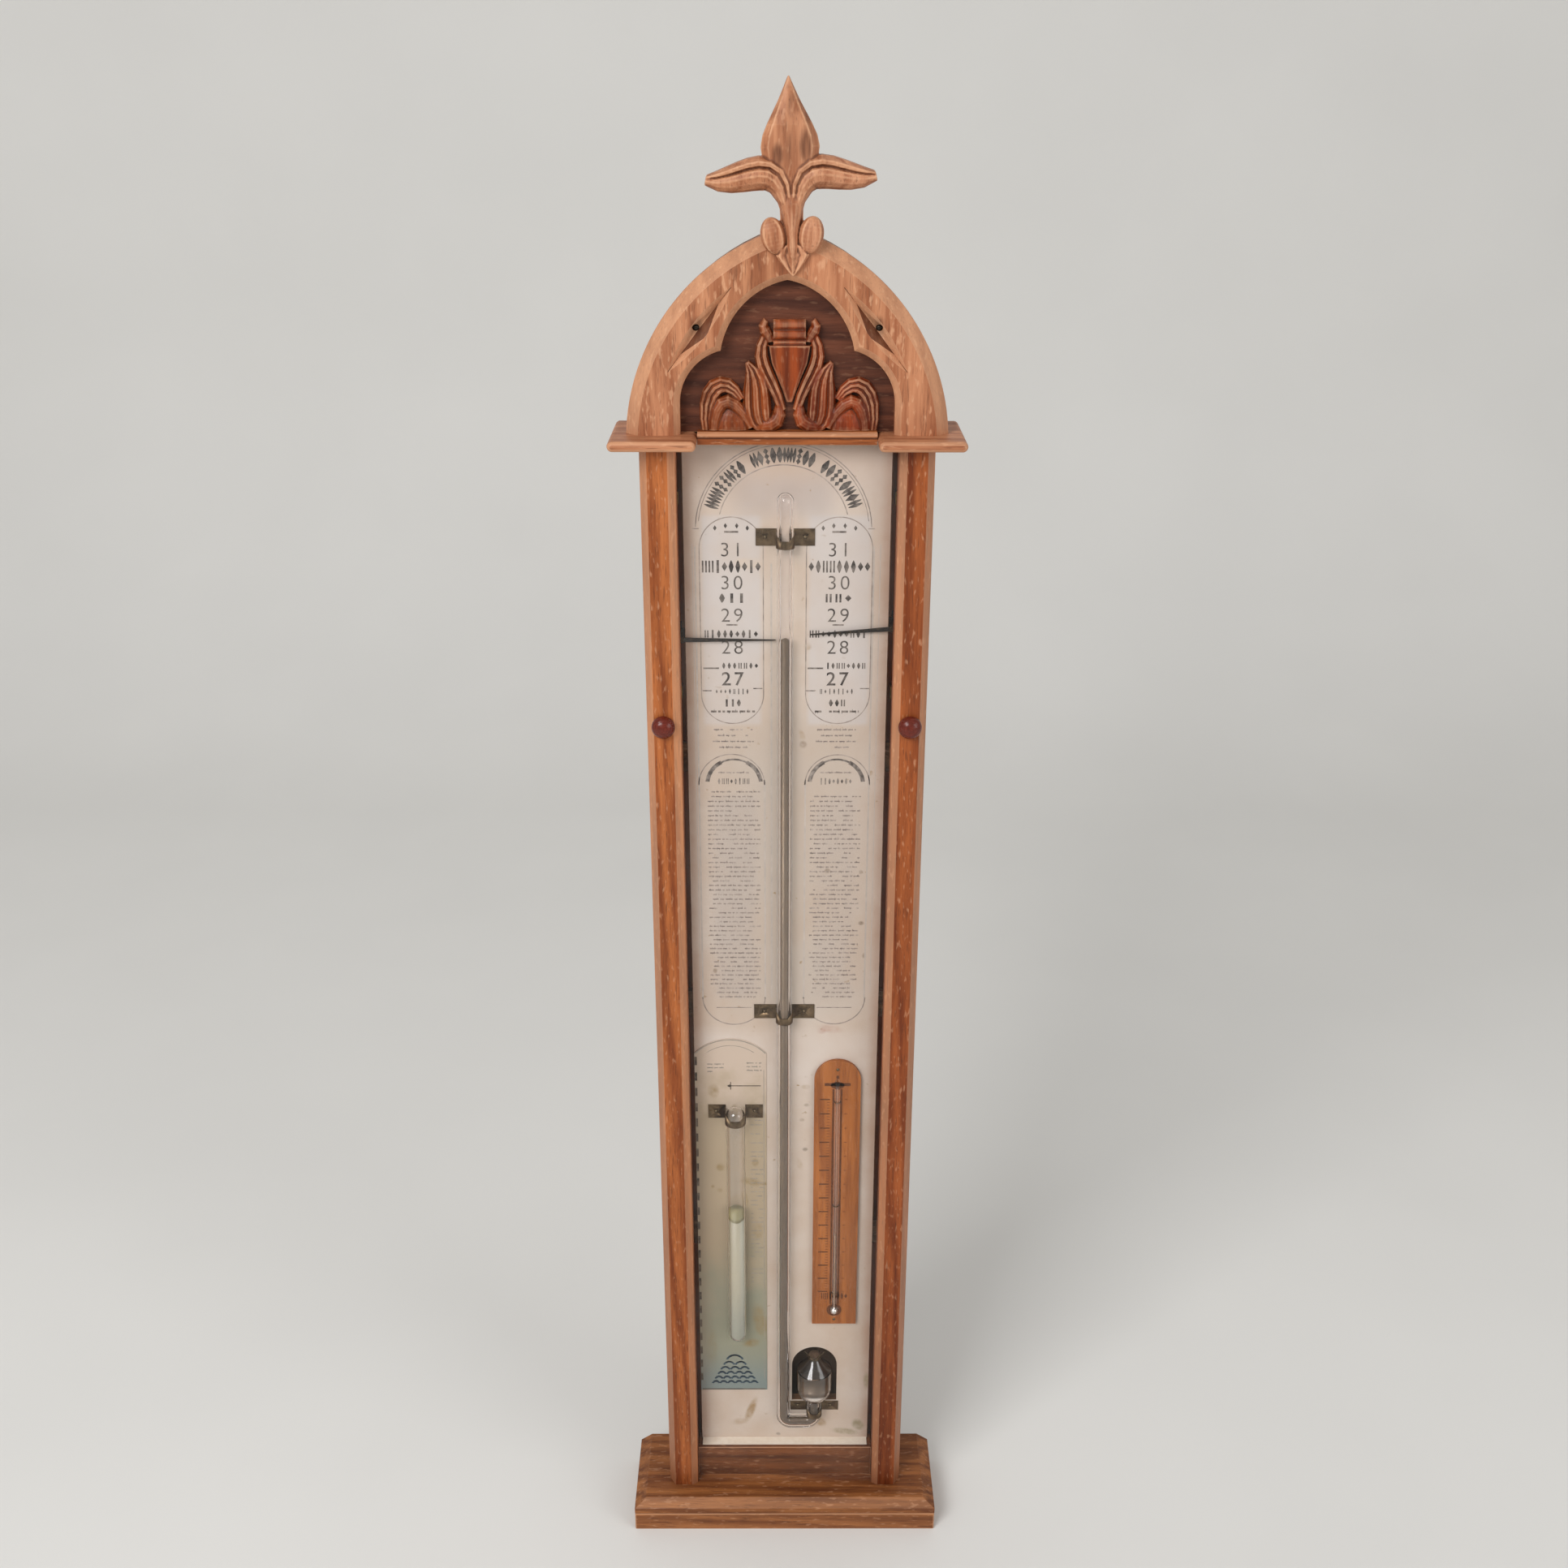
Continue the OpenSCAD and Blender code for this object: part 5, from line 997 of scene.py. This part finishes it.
class BAROMETER_OT_storm_glass(bpy.types.Operator):
    """Prints the card, clouds the liquid of the storm glass and paints shade and a highlight on it"""

    bl_idname = "barometer.storm_glass"
    bl_label = "Storm glass"

    def execute(self, context):
        plate = context.scene.barometer.plate
        s = Shader("storm_card")
        cloud = s.noise(s.where, 30, 5, 0.6)
        height = s.maths("ADD", s.axis("Z"), s.span(cloud, 0.3, 0.7, -0.03, 0.03))
        shade = s.mix(s.span(height, 0.40, 0.47, smooth=True), tint(170, 152, 127), tint(196, 177, 160))
        shade = s.mix(s.span(height, 0.20, 0.30, smooth=True), tint(142, 140, 120), shade)
        left = s.span(s.axis("X"), -0.076, -0.062, 1.0, 0.0, smooth=True)
        shade = s.mix(s.times(left, 0.45), shade, tint(168, 150, 128))
        ragged = s.noise(s.where, 150, 5, 0.65)
        for x, z, w, h, turn, strength in CARD_STAINS:
            spot = s.times(s.blot(x, z, w, h, turn), s.span(ragged, 0.3, 0.6, 0.1, 1.0))
            shade = s.mix(s.times(spot, strength), shade, tint(140, 118, 78))
        foot = s.span(s.axis("Z"), 0.1225, 0.18, 1.0, 0.0, smooth=True)
        shade = s.mix(s.times(foot, 0.6), shade, tint(112, 130, 136))
        fibre = s.noise(s.where, 900, 3, 0.6)
        s.surface(shade, 0.8, s.bump(fibre, 0.2, 0.00015), **{"Specular IOR Level": 0.25})
        dress(s.material, "storm_card")

        ink = ink_material("card_ink", tint(66, 56, 50), tint(170, 150, 128), 0.4)
        grey = ink_material("card_grey", tint(134, 128, 120), tint(186, 172, 156), 0.5)
        blue = ink_material("card_blue", tint(50, 64, 76), tint(108, 124, 130), 0.35)
        pick = random.Random(5)
        card_x = -46.5
        top, foot, pitch = 474.0, 126, 15.3
        marks = Print(CARD_D)
        z = top
        while z > foot:
            marks.bar(-75.6, z, 1.9, 8.2)
            z -= pitch
        marks.bar(-34, 449.5, 26, 0.9)
        marks.oval(card_x - 1, 449.5, 4.2, 2.6, sides=4)
        marks.bar(card_x, 449.5, 0.8, 7.5)
        marks.bar(card_x, 122.9, 58, 1.1)
        marks.finish("card_marks", ink)
        small = Print(CARD_D)
        small.arc(card_x, 457, 32, 52, 128, 0.5)
        rim_r, rim_half = 39.5, 29.6
        reach = math.degrees(math.asin(rim_half / rim_r))
        small.arc(card_x, 494.6 - rim_r, rim_r, 90 - reach, 90 + reach, 0.9)
        for row in range(3):
            small.broken(-66, -52, 471 - 3.6 * row, 1.7, pick, 0.8)
            small.broken(-33, -20, 472 - 3.6 * row, 1.7, pick, 0.85)
        for row in range(38):
            small.broken(-30, -19, 415 - 4.6 * row, 1.4, pick, 0.55)
        small.bar(-18.4, 300, 0.5, 330)
        small.finish("card_fine_rows", grey)
        waves = Print(CARD_D)
        for row in range(6):
            z = 128.5 + 5.2 * row
            half = 21 - 2.6 * row
            count = 6 - row
            for k in range(count):
                x = card_x + 1 + (k - (count - 1) / 2) * (2 * half / max(count, 1))
                waves.arc(x, z, half / count * 0.95, 20, 160, 1.9)
                waves.arc(x, z + 1.8, half / count * 0.7, 35, 145, 1.2)
        waves.finish("card_waves", blue)

        s = Shader("storm_liquid")
        z = s.axis("Z")
        cloud = s.noise(s.place(s.where, scale=(1, 1, 0.3)), 120, 4, 0.6)
        # painted shade on the left of the liquid and a painted highlight down its right
        across = s.span(s.axis("X"), -0.0506, -0.0344)
        shade = s.mix(s.span(across, 0.1, 0.5), tint(170, 160, 136), tint(194, 186, 162))
        shade = s.mix(s.span(across, 0.62, 0.82, smooth=True), shade, tint(206, 204, 184))
        shade = s.mix(s.span(cloud, 0.4, 0.75, 0.0, 0.3), shade, tint(198, 192, 170))
        shade = s.mix(s.span(z, 0.26, 0.2, 0.0, 0.5, smooth=True), shade, tint(152, 162, 152))
        off = s.maths("ADD", s.axis("X"), 0.0425)
        level = s.maths("SUBTRACT", z, s.times(off, off, 60.0))
        shade = s.mix(s.span(level, 0.3185, 0.3200, smooth=True), shade, tint(112, 104, 62))
        shade = s.mix(s.span(level, 0.3205, 0.3235, smooth=True), shade, tint(160, 150, 106))
        s.surface(shade, 0.35, **{"Transmission Weight": 0.35, "IOR": 1.34})
        swollen("storm_liquid", "storm_spirit", "storm_liquid", s.material)
        return {"FINISHED"}


class BAROMETER_OT_thermometer(bpy.types.Operator):
    """Grains the thermometer plate and marks its scale"""

    bl_idname = "barometer.thermometer"
    bl_label = "Thermometer"

    def execute(self, context):
        wood = oak("thermometer_wood", tint(186, 112, 52), tint(146, 82, 36), "Z", (0.5, 0.5, 0.2),
                   pores=0.25, rays=0.1, rough=0.36)
        softened("thermometer_plate", "thermometer_board", "boxwood", wood, 0.7, shortest=1.0)
        ink = ink_material("thermometer_ink", tint(84, 48, 30), tint(140, 84, 46), 0.35, 300)
        low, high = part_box("thermometer_plate")
        x_mid = (low.x + high.x) / 2 / MM
        scale = Print(THERMO_D)
        pick = random.Random(3)
        top, foot, step = 452.0, 236, 14.4
        z = top - step
        while z > foot:
            scale.bar(x_mid - 10.6, z, 8.6, 1.3)
            for part in range(1, 5):
                scale.bar(x_mid - 7.6, z - part * step / 5, 2.4, 0.5)
            scale.bar(x_mid + 7.4, z, 2.2, 0.7)
            z -= step
        for side in (-1, 1):
            scale.bar(x_mid + side * 3.4, 335, 1.7, 226)
        scale.bar(x_mid, 452.4, 22, 3.0)
        scale.oval(x_mid, 451.6, 12, 7.0, sides=12)
        scale.oval(x_mid, 459.6, 2.6, 3.6, sides=8)
        scale.arc(x_mid, 215.5, 5.4, 0, 360, 2.6)
        scale.border(x_mid - 12, x_mid + 12, 231, 7.5, 3.4, pick, 1.2)
        scale.finish("thermometer_scale", ink, slot="boxwood")
        return {"FINISHED"}


class BAROMETER_OT_stage(bpy.types.Operator):
    """Sets the floor and backdrop, the lamps and the camera"""

    bl_idname = "barometer.stage"
    bl_label = "Stage"

    def execute(self, context):
        looks = context.scene.barometer.stage
        # the floor runs back and turns up into a wall
        reach, back, bend = 4, 1.6, 0.8
        bm = bmesh.new()
        run = [bm.verts.new((-reach, y, 0)) for y in (-reach, back)]
        for k in range(1, 9):
            a = k / 8 * math.pi / 2
            run.append(bm.verts.new((-reach, back + bend * math.sin(a), bend - bend * math.cos(a))))
        run.append(bm.verts.new((-reach, back + bend, reach)))
        edges = [bm.edges.new(pair) for pair in zip(run, run[1:])]
        swept = bmesh.ops.extrude_edge_only(bm, edges=edges)["geom"]
        far_side = [g for g in swept if isinstance(g, bmesh.types.BMVert)]
        bmesh.ops.translate(bm, vec=(2 * reach, 0, 0), verts=far_side)
        for f in bm.faces:
            f.smooth = True
        bmesh.ops.recalc_face_normals(bm, faces=bm.faces)
        mesh = as_mesh(bm, "floor")
        floor = bpy.data.objects.new("floor", mesh)
        context.scene.collection.objects.link(floor)
        s = Shader("floor")
        soft = s.noise(s.where, 3, 2, 0.5)
        shade = tuple(looks.floor)
        s.surface(s.mix(s.span(soft, 0.3, 0.7), shade, tuple(0.97 * c for c in shade)), 0.9)
        mesh.materials.append(s.material)

        world = bpy.data.worlds.new("studio")
        world.use_nodes = True
        sky = world.node_tree.nodes["Background"]
        sky.inputs[0].default_value = (1, 0.985, 0.965, 1)
        sky.inputs[1].default_value = looks.sky
        context.scene.world = world
        for name, place, aim, size, watts in (
            ("key", (-1.5, -2.3, 2.5), (0, 0, 0.7), 1.5, looks.key_watts),
            ("fill", (2.3, -1.9, 1.5), (0, 0, 0.6), 1.6, looks.fill_watts),
        ):
            lamp = bpy.data.lights.new(name, "AREA")
            lamp.size = size
            lamp.energy = watts
            holder = bpy.data.objects.new(name, lamp)
            holder.location = place
            holder.rotation_euler = (Vector(aim) - Vector(place)).to_track_quat("-Z", "Y").to_euler()
            context.scene.collection.objects.link(holder)

        # where the photograph was taken from
        camera = bpy.data.cameras.new("camera")
        camera.lens = looks.lens
        camera.sensor_width = 36
        holder = bpy.data.objects.new("camera", camera)
        right = Vector((0.99999394, -0.00295187, 0.00182745))
        down = Vector((0.00053253, -0.38973188, -0.92092822))
        ahead = right.cross(down)
        turn = Matrix((right, -down, -ahead)).transposed().to_4x4()
        eye = Vector((-0.00648, -1.25263, 1.25835))
        holder.matrix_world = Matrix.Translation(eye) @ turn
        context.scene.collection.objects.link(holder)
        context.scene.camera = holder
        context.scene.view_settings.view_transform = "Standard"
        return {"FINISHED"}


OPERATORS = (
    BAROMETER_OT_case,
    BAROMETER_OT_head,
    BAROMETER_OT_carving,
    BAROMETER_OT_works,
    BAROMETER_OT_plate,
    BAROMETER_OT_glass,
    BAROMETER_OT_storm_glass,
    BAROMETER_OT_thermometer,
    BAROMETER_OT_stage,
)


class BAROMETER_PT_pieces(bpy.types.Panel):
    """Lists the steps that dress the barometer"""

    bl_idname = "BAROMETER_PT_pieces"
    bl_label = "Barometer"
    bl_space_type = "VIEW_3D"
    bl_region_type = "UI"
    bl_category = "Barometer"

    def draw(self, context):
        for operator in OPERATORS:
            self.layout.operator(operator.bl_idname)
        for kind in ("timber", "plate", "metal", "stage"):
            box = self.layout.box()
            looks = getattr(context.scene.barometer, kind)
            for name in looks.bl_rna.properties.keys():
                if name not in ("rna_type", "name"):
                    box.prop(looks, name)


CLASSES = (
    TimberLooks,
    PlateLooks,
    MetalAndGlassLooks,
    StageLooks,
    BarometerLooks,
    *OPERATORS,
    BAROMETER_PT_pieces,
)


def register():
    for cls in CLASSES:
        bpy.utils.register_class(cls)
    bpy.types.Scene.barometer = bpy.props.PointerProperty(type=BarometerLooks)


def unregister():
    del bpy.types.Scene.barometer
    for cls in reversed(CLASSES):
        bpy.utils.unregister_class(cls)


def main():
    register()
    for operator in OPERATORS:
        space, step = operator.bl_idname.split(".")
        getattr(getattr(bpy.ops, space), step)()


if __name__ == "__main__":
    main()
